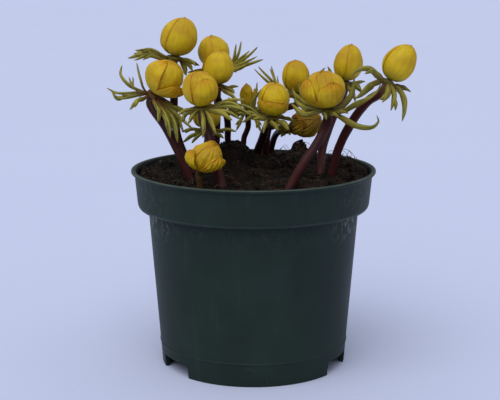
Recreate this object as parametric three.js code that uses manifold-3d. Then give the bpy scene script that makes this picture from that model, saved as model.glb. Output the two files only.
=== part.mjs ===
// Potted winter aconite: a plastic nursery pot of compost with fourteen flowers, nearly all in bud.
// Millimetres, +Z up, -Y towards the viewer. The origin is on the table, under the middle of the pot.
import * as THREE from 'three';
import { mergeVertices } from 'three/addons/utils/BufferGeometryUtils.js';
import Module from 'manifold-3d';

const wasm = await Module();
wasm.setup();
const { degToRad, lerp, clamp, smoothstep } = THREE.MathUtils;

// Pot
const POT_HEIGHT = 89;
const LIP_RADIUS = 55;
const LIP_THICKNESS = 1.1;
const BAND_TOP_RADIUS = 53.6;
const BAND_FOOT_RADIUS = 52.2;
const BAND_FOOT_Z = 73.4;
const STEP_Z = 71.6;
const NECK_RADIUS = 47.5;
const FOOT_RADIUS = 41.9;
const WALL = 1.1;
const FOOT_WIDTH = 1.6;
const FLOOR_Z = 8;
const FLOOR_THICKNESS = 1.2;
const POT_SIDES = 36;

// Notches in the ring foot, and the drain hole in the floor beside each
const NOTCH_ANGLES = [-57, 65, 184];
const NOTCH_WIDTH = 20;
const NOTCH_HEIGHT = 6;
const NOTCH_CORNER = 1.5;
const NOTCH_REACH = 12;
const DRAIN_WIDTH = 12;
const DRAIN_LENGTH = 7;
const DRAIN_RADIUS = 33;

// Compost
const GAP = 0.3;
const SOIL_MIDDLE = 86.4;
const SOIL_SLOPE = 0.04;
const SOIL_SIDES = 28;
const SOIL_EDGE = 51.4;
const SOIL_RINGS = [SOIL_EDGE, 45, 38, 31, 24.5, 17, 9];

// Flowers
const STEM_SIDES = 6;
const STEM_STEP = 8;
const STEM_DEPTH = 15;
const STEM_LEAN = 0.5;
const STEM_STRAIGHT = 2.5;
const STEM_NECK = 2.5;
const HOLE_ABOVE = 7;
const COLLAR_RADIUS = 3.6;
const COLLAR_FOOT = 2.8;
const COLLAR_HEIGHT = 2.2;
const COLLAR_SIDES = 7;
const LOBE_WIDTH = 2;
const LOBE_THICKNESS = 1.1;
const LOBE_STEPS = 9;
const LONG_LOBE = 12;
const CURVED_STATIONS = [0, 2, 4, 6, 8];
const LONG_STATIONS = [0, 3, 6];
const SHORT_STATIONS = [0, 4];
const CURVED_ROUTE = 3;
const STRAP_FACE = new THREE.Vector3(0, -0.8, 0.6);
const UP = new THREE.Vector3(0, 0, 1);
const LOBE_ROOT = 2.6;
const LOBE_REACH = 1.1;
const LOBE_JITTER = 8;
const STEM_BALLS = 36;
const RIM_ROOM = 2;
const OWN_ROOM = 1.1;
const OTHER_ROOM = 1.6;
const SEPALS = 3;
const SEPAL_HALF_ANGLE = 68;
const SEPAL_EDGE = 0.05;
const SEPAL_SEAM = 2.5;
const INNER_SEPAL = 0.92;
const BUD_ROWS = [0.1, 0.22, 0.36, 0.5, 0.64, 0.77, 0.88, 0.96];
const FLAP_THICKNESS = 1;
const FLAP_SIZE = 1.12;
const FLAP_ROOT = 0.8;
const FLAP_ROWS = 4;
const FLAP_COLUMNS = 3;
const FLAP_JOINED = 0.8;
const FLAP_FREE = 1.8;
const SLOPE_STEP = 0.02;

// Bracts are [direction, lift, curl, roll, fan, length, number of lobes, fork]. A direction of 0 is to the
// right, 90 is to the back and -90 to the front. Lift is above the level, and curl is how far it turns on
// the way. Fork is the share of the length that the lobes run together before they part. A strap is a lobe
// that stands by itself: [width, then the points that its middle goes through, measured from the collar].
// A bud's nod moves its tip to the side and to the front by shares of its radius. A flap is a loose sepal:
// [direction from the front, how far it opens, where on the bud it ends, half its angle].
const FLOWERS = [
  {
    name: '01', thick: 1.8, foot: [-27.5, 5],
    path: [[-33, 8, 97.3], [-35.9, 12, 108.2], [-36.3, 13, 120.5]],
    centre: [-34.1, 12, 147.4], axis: [0.17, -0.05, 1], radius: 8.5, height: 18,
    taper: 0.15, turn: 20, nod: [0.24, 0], flaps: [],
    bracts: [[70, 0, -25, 0, 90, 14, 4, 0]],
    straps: [
      [2, [-6, 2.5, 1.2], [-12.5, 3, 3.4], [-18.5, 3.5, 3.4]],
      [2.2, [-6, 1, 1.2], [-12.5, 1, 3.2], [-19, 1, 2]],
      [2.4, [-6, -0.5, 1], [-13, -1.5, 3], [-21.4, -2, 0.2]],
      [2, [-6, -2, 0.6], [-12, -3.5, 2.2], [-18.2, -4.5, -0.6]],
      [1.6, [-5.5, -3, 0.9], [-10.5, -4.4, 2.3], [-15.5, -5.4, 1]],
      [2, [5, -1.5, 0], [8, -2, -1.2], [10, -2, -3.4]],
      [2.2, [4, 0, -0.5], [6.5, 0, -2.2], [8.3, 0, -5.6]],
      [2.4, [3.5, 1.5, -1.5], [4.8, 1, -4.4], [5.3, 0.5, -8]],
    ],
  },
  {
    name: '02', thick: 1.6, foot: [-17.3, 14], path: [[-16.8, 17, 103.8], [-16.8, 20, 117.4]],
    centre: [-18.3, 22, 139.6], axis: [-0.03, 0, 1], radius: 7.4, height: 15.4,
    taper: 0.1, turn: 50, nod: [-0.1, 0], flaps: [],
    bracts: [
      [130, 0, -20, 0, 90, 13, 4, 0],
      [240, -14, -20, 0, 80, 11, 3, 0],
      [50, 0, -15, 0, 60, 12, 3, 0],
    ],
    straps: [
      [1.3, [6.8, -1, 2.4], [9, -2, 6.4], [10.2, -2.5, 13.2]],
      [1.4, [6.8, -1, 2.4], [10.6, -2, 7.4], [12.5, -2.5, 14.4]],
      [1.4, [7, -1, 2.2], [12.4, -2, 6.6], [16.6, -2.5, 9.9]],
      [1.6, [7, -1, 2], [14.6, -2, 6.8], [20.4, -2.5, 11.8]],
      [1.6, [7, -1, 1.6], [14.6, -2, 4.8], [20.1, -2.5, 7.2]],
      [1.8, [7, -1, 1.2], [15.5, -2, 3.6], [23.1, -2.5, 5.8]],
      [2.2, [6.5, -1, 0.6], [11, -2, 1.8], [15.5, -2.5, 3.4]],
    ],
  },
  {
    name: '03', thick: 1.6, foot: [-11.9, 24], path: [[-12.2, 18, 109.3]],
    centre: [-15.9, 6, 133.9], axis: [0.05, -0.1, 1], radius: 7.2, height: 15.6,
    taper: 0.2, turn: -30, nod: [0.1, 0], flaps: [],
    bracts: [[100, -10, -20, 0, 90, 12, 4, 0], [212, -26, -20, 0, 80, 11, 4, 0]],
    straps: [
      [1.6, [4, -1, -0.3], [6, -1.5, -0.8], [8, -2, -2.8]],
      [1.4, [4.5, 0, 0], [7, 0, 0.5], [9.8, 0, 0.4]],
      [2, [3, -3, -1], [6, -4, -2.4], [9, -5, -5]],
    ],
  },
  {
    name: '04', thick: 1.9, foot: [-28.4, -4], path: [[-33.7, -4, 96.9], [-39, -2, 107.4]],
    centre: [-39.4, 2, 129.8], axis: [0.62, -0.22, 1], radius: 8.1, height: 17.5,
    taper: 0.05, turn: -10, nod: [0.1, 0.1], flaps: [[-50, 0.16, 0.86, 52], [40, 0.42, 0.6, 46]],
    bracts: [[50, -34, -30, 0, 80, 15, 4, 0], [115, -10, -20, 0, 40, 12, 2, 0]],
    straps: [
      [1.1, [-4, -1, 2.6], [-6, -2, 8.2], [-7.4, -2, 15.4]],
      [1.4, [-6, -1.5, 2.5], [-11, -2.5, 5.3], [-14.5, -3, 10.3], [-13.6, -3, 14.4]],
      [1.3, [-5, -2, 1.8], [-8.8, -3, 4.2], [-10.8, -3.5, 9]],
      [1.8, [-6, 0, 1], [-12, 0, 0], [-17, 0, -0.6], [-19.4, 0, 3]],
      [1.4, [-6, 2.5, 1.4], [-12, 5, 0.8], [-18, 7.5, 0.6], [-22.7, 9, 2.8]],
      [1.3, [-5.5, -1.5, 0.8], [-11, -2, -0.3], [-15.5, -2, -0.8], [-17.8, -2, 1.2]],
      [1.8, [-4, -2.5, -0.5], [-7.2, -4, -1.6], [-10.8, -5, -6]],
      [1.4, [-4, 3, -0.8], [-6, 4, -2.4], [-9.5, 5, -2.8]],
      [2.2, [0.4, -4.8, -1.6], [2.4, -8.5, -5.4], [2.2, -10, -11.4]],
      [3, [2.4, -4.8, -3], [5.6, -8.6, -7.4], [7.4, -11, -12], [8, -12, -18]],
      [2.8, [3.8, -4, -4], [8.6, -7, -8.6], [10.6, -9.5, -14], [11, -10.5, -20.4]],
      [2, [4.6, -2.6, -4.4], [10.4, -4.5, -8.4], [13.6, -6, -16.4]],
      [1.8, [4.8, -3.6, -3.4], [12.6, -8, -9], [19, -11, -14.8]],
      [2, [4.8, 1, -4.4], [10, 0.5, -5.4], [15, 0, -7.6]],
    ],
  },
  {
    name: '05', thick: 2.1, foot: [-13.6, -27], path: [[-16.3, -23, 94.3], [-18.9, -20.5, 104.9]],
    centre: [-23.1, -18, 127.1], axis: [-0.06, -0.16, 1], radius: 7.6, height: 15.8,
    taper: 0, turn: 25, nod: [-0.1, 0.05], flaps: [[30, 0.05, 0.74, 60]],
    bracts: [[100, -20, -20, 0, 90, 12, 4, 0]],
    straps: [
      [1.8, [5.5, 2, 1.2], [11, 3, 3.6], [20, 4, 3.8]],
      [2, [5.5, 0.5, 0.8], [12, 0.5, 2.8], [19.5, 0, -1.2]],
      [1.8, [5.5, -1, 0.5], [13, -1.5, 1.4], [23, -2, -3]],
      [2.4, [4.5, -3, -0.2], [9, -5, -0.8], [13.7, -6, -4.4]],
      [2, [5, -2, 0], [12, -3.5, -1], [17.6, -4, -4.4]],
      [2, [2.5, -4, -1], [4.8, -7, -4.8], [6.6, -8, -10.4]],
      [2.2, [0.3, -4.6, -1], [1, -7.5, -5], [0.6, -8, -12]],
      [1.8, [-2.5, -4, -0.8], [-4, -5.5, -2.5], [-5.8, -6, -6]],
      [1.8, [-4.5, -1.5, 0], [-7.4, -2, -0.3], [-10.5, -2.5, -2.6]],
      [1.8, [-4, 2, -1], [-7.4, 3.5, -2.6], [-9.6, 4, -7]],
    ],
  },
  {
    name: '06', thick: 1.5, foot: [-20.5, 0], path: [[-21.5, 5, 96.4]],
    centre: [-21.1, 8, 111.8], axis: [0, -0.2, 1], radius: 6.6, height: 11.8,
    taper: 0.2, turn: 0, nod: [0, 0], flaps: [],
    bracts: [[90, -20, -10, 0, 80, 10, 3, 0]],
    straps: [
      [1.6, [-5, -1, 0], [-8, -1.5, -0.8], [-11.8, -2, -2.8]],
      [1.6, [-4.5, -2.5, -0.8], [-7.5, -3.5, -2], [-11.2, -4, -5]],
      [1.6, [-3, -3.8, -1], [-5, -5, -2.5], [-7, -5.5, -5.2]],
      [1.6, [5, -1, 0.3], [9, -1, 0.8], [13.7, -1, -0.3]],
      [1.6, [4, -3, -0.6], [6, -4, -1.2], [8, -4.5, -3]],
    ],
  },
  {
    name: '07', thick: 1.4, foot: [-4.9, 30], path: [[-4.4, 30, 98.1], [-2.5, 28, 103.7]],
    centre: [-3, 26, 118.4], axis: [-0.05, -0.1, 1], radius: 3.2, height: 12.4,
    taper: -0.1, turn: 15, nod: [0, 0],
    flaps: [[-30, 0.2, 0.8, 36], [70, 0.4, 0.7, 36], [170, 0.2, 0.9, 36]],
    bracts: [[190, -5, 10, 0, 90, 12, 4, 0], [-45, 0, 10, 0, 90, 12, 3, 0], [75, 0, 10, 0, 90, 12, 4, 0]],
    straps: [
      [1.8, [-3.5, -3, -1.5], [-5, -5, -3.6], [-7.2, -6, -7.8]],
      [1.6, [3, -3.5, -1], [4.5, -5, -4], [6, -6, -8.5]],
      [1.8, [1.5, -4.4, 1.4], [2.4, -5.6, 6.6], [8.4, -6, 13.2]],
      [1.2, [2.4, -4, 1.4], [3.6, -5.4, 7.4], [4.4, -5.6, 15.2]],
      [2, [-1.6, -4.6, 1], [-3.6, -6.2, 3.6], [-9.4, -6.4, 8]],
      [1.8, [-3.6, -3.4, 0.4], [-6.4, -4.6, 1.6], [-9.6, -5, 4.4]],
      [2.2, [3.4, -3.6, 0.6], [5, -5.4, 2.4], [5.4, -6, 6.4]],
    ],
  },
  {
    name: '08', thick: 1.9, foot: [2, 28], path: [[4, 18, 99], [6.5, 2, 108]],
    centre: [9.1, -6, 121], axis: [0.05, -0.28, 1], radius: 7.1, height: 15,
    taper: -0.05, turn: 0, nod: [0, -0.1], flaps: [[-8, 0.12, 0.58, 56]],
    bracts: [[50, -12, -10, 0, 100, 12, 4, 0], [135, -5, -15, 0, 50, 12, 3, 0]],
    straps: [
      [1.8, [-5.5, 1, 0.5], [-10, 1.5, 4], [-16, 2, 6]],
      [2, [-5.5, -0.5, 0.2], [-10, -1, 2.4], [-17, -1.5, 2]],
      [1.8, [-5, -2, 0], [-9, -3, 1.2], [-14, -3.5, -2]],
      [1.8, [-4.5, -3, -0.2], [-6.8, -4.5, 0.6], [-9.8, -5, -0.4]],
      [2.6, [-0.5, -4.8, -1], [0.8, -7, -2.2], [2.2, -8, -5]],
      [2.6, [2.5, -4.2, -0.8], [4.8, -6.5, -1.6], [7.2, -7.5, -5]],
      [2, [-3, -4.5, -1], [-3.8, -6.5, -3], [-4.4, -7, -6.4]],
    ],
  },
  {
    name: '09', thick: 1.6, foot: [5.6, 34], path: [[7.4, 26, 104], [12.3, 18, 113]],
    centre: [19.4, 14, 129.1], axis: [-0.06, -0.12, 1], radius: 6.4, height: 15.5,
    taper: -0.05, turn: 0, nod: [0, 0.1], flaps: [[180, 0.42, 0.9, 52]],
    bracts: [[15, -5, -15, 0, 80, 12, 4, 0], [85, 5, -10, 0, 80, 12, 3, 0]],
    straps: [
      [1.2, [-7.4, 0, 3], [-9.6, 0, 8], [-11.9, 0, 16.5]],
      [1.1, [-7, -2.6, 2.4], [-10.2, -2.4, 7.2], [-12.6, -2, 13]],
      [1.3, [-7.6, 0.5, 2.8], [-12, 1, 7.4], [-18.1, 1.5, 13.6]],
      [1.3, [-7.4, -2.4, 1.2], [-12.6, -2.6, 6.2], [-20, -2.6, 12.8]],
      [2, [-6, -2, 0.5], [-11, -3, 3], [-17, -4, 3]],
    ],
  },
  {
    name: '10', thick: 2.1, foot: [15.6, -29], path: [[21.5, -28, 96.1], [28.5, -24, 106]],
    centre: [30.6, -20, 126.9], axis: [-0.12, -0.22, 1], radius: 8.7, height: 16.4,
    taper: -0.15, turn: 30, nod: [-0.1, 0], flaps: [[-62, 0.16, 0.8, 42], [20, 0.08, 0.72, 56]],
    bracts: [[90, -8, -14, 0, 100, 13, 4, 0]],
    straps: [
      [2.2, [6, -5, -0.4], [13, -13.6, -0.9], [18.6, -15.4, 0.3], [20.8, -15.4, 3.3], [19.6, -15.4, 5.7]],
      [2.6, [6.5, -5, 0.8], [11, -12, 4.6], [16, -17.2, 7.6], [19.5, -19.4, 10.6], [21.2, -20.2, 14.6]],
      [2.2, [6.2, 1, 1.5], [9.8, 1.5, 5.5], [11.4, 1.5, 9.4], [11.8, 1, 14.6]],
      [2.4, [-5, -1, -0.5], [-10, -1.5, -1.2], [-13.5, -1.5, 1.3], [-16, -1.5, 3.8]],
      [2.2, [-5.5, 1, 0.8], [-10.5, 1.5, 4], [-14.4, 1.5, 8], [-14.9, 1.5, 10.8]],
      [2, [-5.5, 0, 0.3], [-10.5, 0, 2], [-15, 0, 5.8]],
      [1.4, [-5.5, 2, 0.8], [-10.8, 3, 7], [-12.4, 3, 12.6]],
      [1.6, [-1.5, -5, -0.6], [-1, -7.5, -1], [-0.6, -9, -3.4]],
      [1.6, [1.5, -5, -0.5], [2.6, -8, -0.3], [5, -9.5, -2.2]],
      [1.8, [3.5, -4, -0.3], [6, -6.5, 0.6], [9, -7.5, -0.6]],
    ],
  },
  {
    name: '11', thick: 1.5, foot: [8.1, 42], path: [[10.4, 34, 98.5], [13.4, 21, 103]],
    centre: [24.4, 3, 109.2], axis: [0.66, -0.62, 0.36], radius: 6.6, height: 15,
    taper: 0.1, turn: 0, nod: [0, 0], flaps: [[-20, 0.25, 0.7, 40]],
    bracts: [[205, -5, 10, 0, 70, 8, 4, 0], [-125, -30, 20, 0, 60, 8, 3, 0], [60, 40, 10, 0, 70, 8, 3, 0]],
    straps: [],
  },
  {
    name: '12', thick: 1.9, foot: [30.2, -3], path: [[31.4, 6, 96.6], [35.4, 13, 107.3]],
    centre: [42.5, 8, 136], axis: [0.12, -0.05, 1], radius: 6.7, height: 17,
    taper: 0.4, turn: 40, nod: [0.1, 0], flaps: [],
    bracts: [[110, -6, -20, 0, 120, 12, 4, 0]],
    straps: [
      [1.8, [-5.5, 0, 0.5], [-9, 0, 1.5], [-10.9, 0, 4.5], [-8.8, 0, 7.6]],
      [1.8, [-4.5, 2, 0.2], [-6.8, 3, 2], [-6.4, 4, 5], [-7.8, 4, 7.8]],
      [2, [4.2, -2.5, 0], [5.8, -4, -1.2], [7.8, -5, -4]],
      [1.8, [5, 0.5, 0.4], [7, 0.8, 1.1], [9.6, 1, 0.9]],
      [2, [1.5, -4.2, -1], [3.4, -6.5, -3.4], [4.5, -7, -8]],
    ],
  },
  {
    name: '13', thick: 2, foot: [34.9, -4],
    path: [[37.6, -6, 98.2], [42.3, -12, 110.2], [48.6, -22, 121.5]],
    centre: [60.9, -34, 139.7], axis: [0.56, 0.04, 1], radius: 6.9, height: 17,
    taper: 0.35, turn: -15, nod: [0.1, 0], flaps: [],
    bracts: [[70, -22, -24, 0, 110, 12, 4, 0]],
    straps: [
      [2, [-4.2, 0, 3.4], [-8.8, 0, 6.4], [-13.8, 0, 4.8], [-14.8, 0, 2.2]],
      [2.4, [-3.8, -1.5, 2.4], [-6.8, -2.5, 4.2], [-10.4, -3, 1.6]],
      [2.6, [-3.8, 0, 1], [-7, 3, -0.6], [-10.6, 6, -5.4], [-13.6, 8.5, -8]],
      [2.4, [-1.5, -4, -1.2], [-2.4, -5.5, -3.8], [-4.8, -6, -7.6]],
      [2, [1, -4, -1], [2.4, -5.5, -4.4], [0.6, -6, -11.4]],
      [2, [4, -2.5, -0.6], [6.8, -3.5, -4.2], [6.8, -4, -9.4], [5.6, -4, -14.8]],
    ],
  },
  {
    name: '14', thick: 1.4, foot: [-22.8, -29.5], path: [[-23.3, -30.3, 89.6]],
    centre: [-21, -33, 99.6], axis: [0.26, -0.3, 0.9], radius: 6.6, height: 13,
    taper: -0.1, turn: 10, nod: [0.42, -0.1],
    flaps: [[40, 0.3, 0.74, 50], [-56, 0.36, 0.7, 42], [175, 0.34, 0.86, 36]],
    bracts: [],
    straps: [],
  },
];

// A number from 0 to 1 that looks random and is the same each time for the same seed
function draw(seed) {
  const wave = Math.sin(seed * 12.9898) * 43758.5453;
  return wave - Math.floor(wave);
}

function vector(numbers) {
  return new THREE.Vector3(...numbers);
}

// Closed solid of a three.js geometry, without the slivers that a lathe leaves on its axis
function solidOf(geometry) {
  const bare = geometry.index ? geometry.clone() : geometry;
  bare.deleteAttribute('normal');
  bare.deleteAttribute('uv');
  const merged = mergeVertices(bare, 1e-4);
  const corners = merged.index.array;
  const kept = [];
  for (let i = 0; i < corners.length; i += 3) {
    const [a, b, c] = corners.slice(i, i + 3);
    if (a !== b && b !== c && c !== a) kept.push(a, b, c);
  }
  const vertProperties = new Float32Array(merged.attributes.position.array);
  const mesh = new wasm.Mesh({ numProp: 3, vertProperties, triVerts: new Uint32Array(kept) });
  return new wasm.Manifold(mesh);
}

// Geometry of points and faces, turned so that the faces point out
function closedGeometry(points, faces) {
  let volume = 0;
  for (const [a, b, c] of faces) {
    volume += points[a].dot(points[b].clone().cross(points[c]));
  }
  const outward = volume < 0 ? faces.map(([a, b, c]) => [a, c, b]) : faces;
  const geometry = new THREE.BufferGeometry().setFromPoints(points);
  geometry.setIndex(outward.flat());
  return geometry;
}

function geometryOf(solid) {
  const mesh = solid.getMesh();
  const geometry = new THREE.BufferGeometry();
  geometry.setAttribute('position', new THREE.BufferAttribute(new Float32Array(mesh.vertProperties), 3));
  geometry.setIndex(new THREE.BufferAttribute(new Uint32Array(mesh.triVerts), 1));
  return geometry;
}

function join(solids) {
  return solids.reduce((whole, next) => whole.add(next));
}

// Pot: one wall turned round the axis, notched at the foot
function bodyRadius(z) {
  return lerp(FOOT_RADIUS, NECK_RADIUS, z / STEP_Z);
}

function bandRadius(z) {
  return lerp(BAND_FOOT_RADIUS, BAND_TOP_RADIUS, (z - BAND_FOOT_Z) / (POT_HEIGHT - BAND_FOOT_Z));
}

function turned(profile, sides) {
  const points = profile.map(([radius, z]) => new THREE.Vector2(radius, z));
  return new THREE.LatheGeometry(points, sides).rotateX(Math.PI / 2);
}

function potWall() {
  const floorTop = FLOOR_Z + FLOOR_THICKNESS;
  const lipFoot = POT_HEIGHT - LIP_THICKNESS;
  const shelf = STEP_Z + WALL;
  const profile = [
    [0, FLOOR_Z],
    [FOOT_RADIUS - FOOT_WIDTH, FLOOR_Z],
    [FOOT_RADIUS - FOOT_WIDTH, 0],
    [FOOT_RADIUS, 0],
    [NECK_RADIUS, STEP_Z],
    [BAND_FOOT_RADIUS - 0.9, STEP_Z + 0.3],
    [BAND_FOOT_RADIUS, BAND_FOOT_Z],
    [bandRadius(lipFoot), lipFoot - 0.7],
    [LIP_RADIUS, lipFoot],
    [LIP_RADIUS, POT_HEIGHT - 0.3],
    [LIP_RADIUS - 0.5, POT_HEIGHT],
    [BAND_TOP_RADIUS - 0.5, POT_HEIGHT],
    [bandRadius(lipFoot) - WALL, lipFoot - 0.7],
    [BAND_FOOT_RADIUS - WALL, shelf + 0.8],
    [BAND_FOOT_RADIUS - WALL - 1, shelf],
    [NECK_RADIUS - WALL, shelf],
    [bodyRadius(floorTop) - WALL, floorTop],
    [0, floorTop],
  ];
  return turned(profile, POT_SIDES);
}

function notchCutter(angle) {
  const half = NOTCH_WIDTH / 2;
  const outline = new THREE.Shape();
  outline.moveTo(-half, -1);
  outline.lineTo(half, -1);
  outline.lineTo(half, NOTCH_HEIGHT - NOTCH_CORNER);
  outline.absarc(half - NOTCH_CORNER, NOTCH_HEIGHT - NOTCH_CORNER, NOTCH_CORNER, 0, Math.PI / 2);
  outline.absarc(NOTCH_CORNER - half, NOTCH_HEIGHT - NOTCH_CORNER, NOTCH_CORNER, Math.PI / 2, Math.PI);
  const through = { depth: NOTCH_REACH, bevelEnabled: false, curveSegments: 2 };
  const notch = new THREE.ExtrudeGeometry(outline, through);
  notch.rotateX(Math.PI / 2).translate(0, NOTCH_REACH / 2 - FOOT_RADIUS, 0);
  const drain = new THREE.BoxGeometry(DRAIN_WIDTH, DRAIN_LENGTH, 2 * FLOOR_THICKNESS);
  drain.translate(0, -DRAIN_RADIUS, FLOOR_Z + FLOOR_THICKNESS / 2);
  const turn = degToRad(angle);
  return solidOf(notch.rotateZ(turn)).add(solidOf(drain.rotateZ(turn)));
}

function potSolid() {
  return NOTCH_ANGLES.reduce((pot, angle) => pot.subtract(notchCutter(angle)), solidOf(potWall()));
}

// Compost: a turned block that follows the wall inside, with its top raised into lumps and a clod
function hump(x, y, [atX, atY, height, reach]) {
  const away = Math.hypot(x - atX, y - atY) / reach;
  return height * Math.exp(-away * away);
}

// Humps are [x, y, height, reach]: the clod and its shoulder, the hollow at the left, and low swells
const HUMPS = [
  [-11.5, 22, 11, 9],
  [-2, 27, 3.5, 7],
  [-40, -8, -3, 16],
  [43, 24, 2.4, 10],
  [24, 43, 2, 8],
  [30, -34, -1, 12],
];

function soilTop(x, y) {
  const wide = 0.7 * Math.sin(0.31 * x + 1.3) * Math.cos(0.27 * y + 0.4);
  const fine = 0.4 * Math.sin(0.71 * x + 0.53 * y);
  const raised = HUMPS.reduce((sum, one) => sum + hump(x, y, one), 0);
  return SOIL_MIDDLE + SOIL_SLOPE * y + wide + fine + raised;
}

function soilBlock() {
  const bottom = FLOOR_Z + FLOOR_THICKNESS + GAP;
  const shelf = STEP_Z + WALL + GAP;
  const inside = WALL + GAP;
  const profile = [
    [0, bottom],
    [bodyRadius(bottom) - inside, bottom],
    [NECK_RADIUS - inside - 0.1, shelf],
    [BAND_FOOT_RADIUS - inside - 1.4, shelf],
    [BAND_FOOT_RADIUS - inside - 0.4, shelf + 1.2],
  ];
  for (const radius of [...SOIL_RINGS, 0]) {
    profile.push([radius, POT_HEIGHT]);
  }
  const block = turned(profile, SOIL_SIDES);
  const position = block.attributes.position;
  for (let i = 0; i < position.count; i += 1) {
    if (position.getZ(i) < POT_HEIGHT) continue;
    position.setZ(i, soilTop(position.getX(i), position.getY(i)));
  }
  return block;
}

// Where a flower's parts meet: the stem's end, the collar above it and the foot of the bloom
function heads(flower) {
  const axis = vector(flower.axis).normalize();
  const front = new THREE.Vector3(0, -1, 0).addScaledVector(axis, axis.y).normalize();
  const side = axis.clone().cross(front);
  const base = vector(flower.centre).addScaledVector(axis, -flower.height / 2);
  const collar = base.clone().addScaledVector(axis, -GAP - COLLAR_HEIGHT / 2);
  const room = flower.bracts.length > 0 ? 2 * GAP + COLLAR_HEIGHT : GAP;
  const stemEnd = base.clone().addScaledVector(axis, -room);
  return { axis, front, side, base, collar, stemEnd };
}

function stemRoot(flower) {
  const [footX, footY] = flower.foot;
  const foot = new THREE.Vector3(footX, footY, soilTop(footX, footY));
  const rise = vector(flower.path[0]).sub(foot);
  const lean = Math.hypot(rise.x, rise.y) / rise.z;
  const share = Math.min(1, STEM_LEAN / lean);
  rise.set(rise.x * share, rise.y * share, rise.z).normalize();
  return { foot, rise };
}

function stemCurve(flower) {
  const { axis, stemEnd } = heads(flower);
  const { foot, rise } = stemRoot(flower);
  const buried = foot.clone().addScaledVector(rise, -STEM_DEPTH);
  const clear = foot.clone().addScaledVector(rise, STEM_STRAIGHT);
  const neck = stemEnd.clone().addScaledVector(axis, -STEM_NECK);
  return new THREE.CatmullRomCurve3([buried, foot, clear, ...flower.path.map(vector), neck, stemEnd]);
}

function holeCutter(flower) {
  const { foot, rise } = stemRoot(flower);
  const radius = (flower.thick + GAP) / Math.cos(Math.PI / STEM_SIDES);
  const length = STEM_DEPTH + GAP + HOLE_ABOVE;
  const hole = new THREE.CylinderGeometry(radius, radius, length, STEM_SIDES);
  const middle = foot.clone().addScaledVector(rise, HOLE_ABOVE - length / 2);
  hole.applyQuaternion(new THREE.Quaternion().setFromUnitVectors(new THREE.Vector3(0, 1, 0), rise));
  return solidOf(hole.translate(middle.x, middle.y, middle.z));
}

function tube(curve, radius, steps) {
  const section = new THREE.Shape();
  for (let i = 0; i < STEM_SIDES; i += 1) {
    const angle = (2 * Math.PI * i) / STEM_SIDES;
    const [x, y] = [radius * Math.cos(angle), radius * Math.sin(angle)];
    if (i === 0) section.moveTo(x, y);
    else section.lineTo(x, y);
  }
  section.closePath();
  return new THREE.ExtrudeGeometry(section, { steps, bevelEnabled: false, extrudePath: curve });
}

function stemSolid(flower) {
  const curve = stemCurve(flower);
  return solidOf(tube(curve, flower.thick, Math.round(curve.getLength() / STEM_STEP)));
}

function soilSolid() {
  return FLOWERS.reduce((soil, flower) => soil.subtract(holeCutter(flower)), solidOf(soilBlock()));
}

// One lobe of a bract: its middle line, and beside each point the way its width runs
function lobeLine(root, bract, fan, curlShare, length) {
  const [direction, lift, curl, roll, fork] = bract;
  const line = [{ point: root.clone() }];
  let point = root.clone();
  for (let i = 0; i < LOBE_STEPS; i += 1) {
    const along = (i + 0.5) / LOBE_STEPS;
    const azimuth = degToRad(direction);
    const rise = degToRad(lift + curl * curlShare * along);
    const ahead = new THREE.Vector3(
      Math.cos(rise) * Math.cos(azimuth),
      Math.cos(rise) * Math.sin(azimuth),
      Math.sin(rise),
    );
    const across = new THREE.Vector3(-Math.sin(azimuth), Math.cos(azimuth), 0);
    const above = ahead.clone().cross(across);
    const lean = degToRad(roll);
    across.multiplyScalar(Math.cos(lean)).addScaledVector(above, Math.sin(lean));
    const parted = degToRad(fan) * smoothstep(along, fork - 0.1, fork + 0.25);
    const heading = ahead.clone().multiplyScalar(Math.cos(parted)).addScaledVector(across, Math.sin(parted));
    const wide = across.clone().multiplyScalar(Math.cos(parted)).addScaledVector(ahead, -Math.sin(parted));
    point = point.clone().addScaledVector(heading, length / LOBE_STEPS);
    if (i === 0) Object.assign(line[0], { wide, heading });
    line.push({ point, wide, heading });
  }
  const stations = point.distanceTo(root) > LONG_LOBE ? LONG_STATIONS : SHORT_STATIONS;
  return { line, width: LOBE_WIDTH, stations };
}

// A strap goes from the collar through its own points
function strapLine(head, strap, [swing, raise, share]) {
  const [width, ...route] = strap;
  const steps = route.map((offset) => {
    const step = vector(offset).applyAxisAngle(UP, degToRad(swing)).multiplyScalar(share);
    step.z += Math.hypot(step.x, step.y) * Math.tan(degToRad(raise));
    return step;
  });
  const out = steps[0].clone().projectOnPlane(head.axis).normalize();
  const root = head.collar.clone().addScaledVector(out, LOBE_ROOT);
  const curve = new THREE.CatmullRomCurve3([root, ...steps.map((step) => step.add(head.collar))]);
  const points = curve.getSpacedPoints(LOBE_STEPS);
  const line = points.map((point, i) => {
    const [from, to] = i === 0 ? [point, points[1]] : [points[i - 1], point];
    const heading = to.clone().sub(from).normalize();
    return { point, heading, wide: heading.clone().cross(STRAP_FACE).normalize() };
  });
  const stations = route.length >= CURVED_ROUTE ? CURVED_STATIONS : LONG_STATIONS;
  return { line, width, stations };
}

// Keeps clear of what is already there: each obstacle is a run of balls of one radius
function clears({ line, width }, obstacles, owner) {
  const wider = Math.max(0, (width - LOBE_WIDTH) / 2);
  return line.every(({ point }, i) => {
    if (i < 1) return true;
    if (Math.abs(point.y) > LIP_RADIUS - RIM_ROOM) return false;
    const overPot = Math.hypot(point.x, point.y) < LIP_RADIUS + RIM_ROOM;
    const floor = Math.max(POT_HEIGHT, soilTop(point.x, point.y)) + RIM_ROOM;
    if (overPot && point.z < floor) return false;
    return obstacles.every(({ name, kind, balls, reach }) => {
      const own = name === owner;
      if (own && kind === 'lobe') return true;
      const room = reach + (own ? OWN_ROOM : OTHER_ROOM) + wider;
      return balls.every((ball) => ball.distanceTo(point) > room);
    });
  });
}

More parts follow.
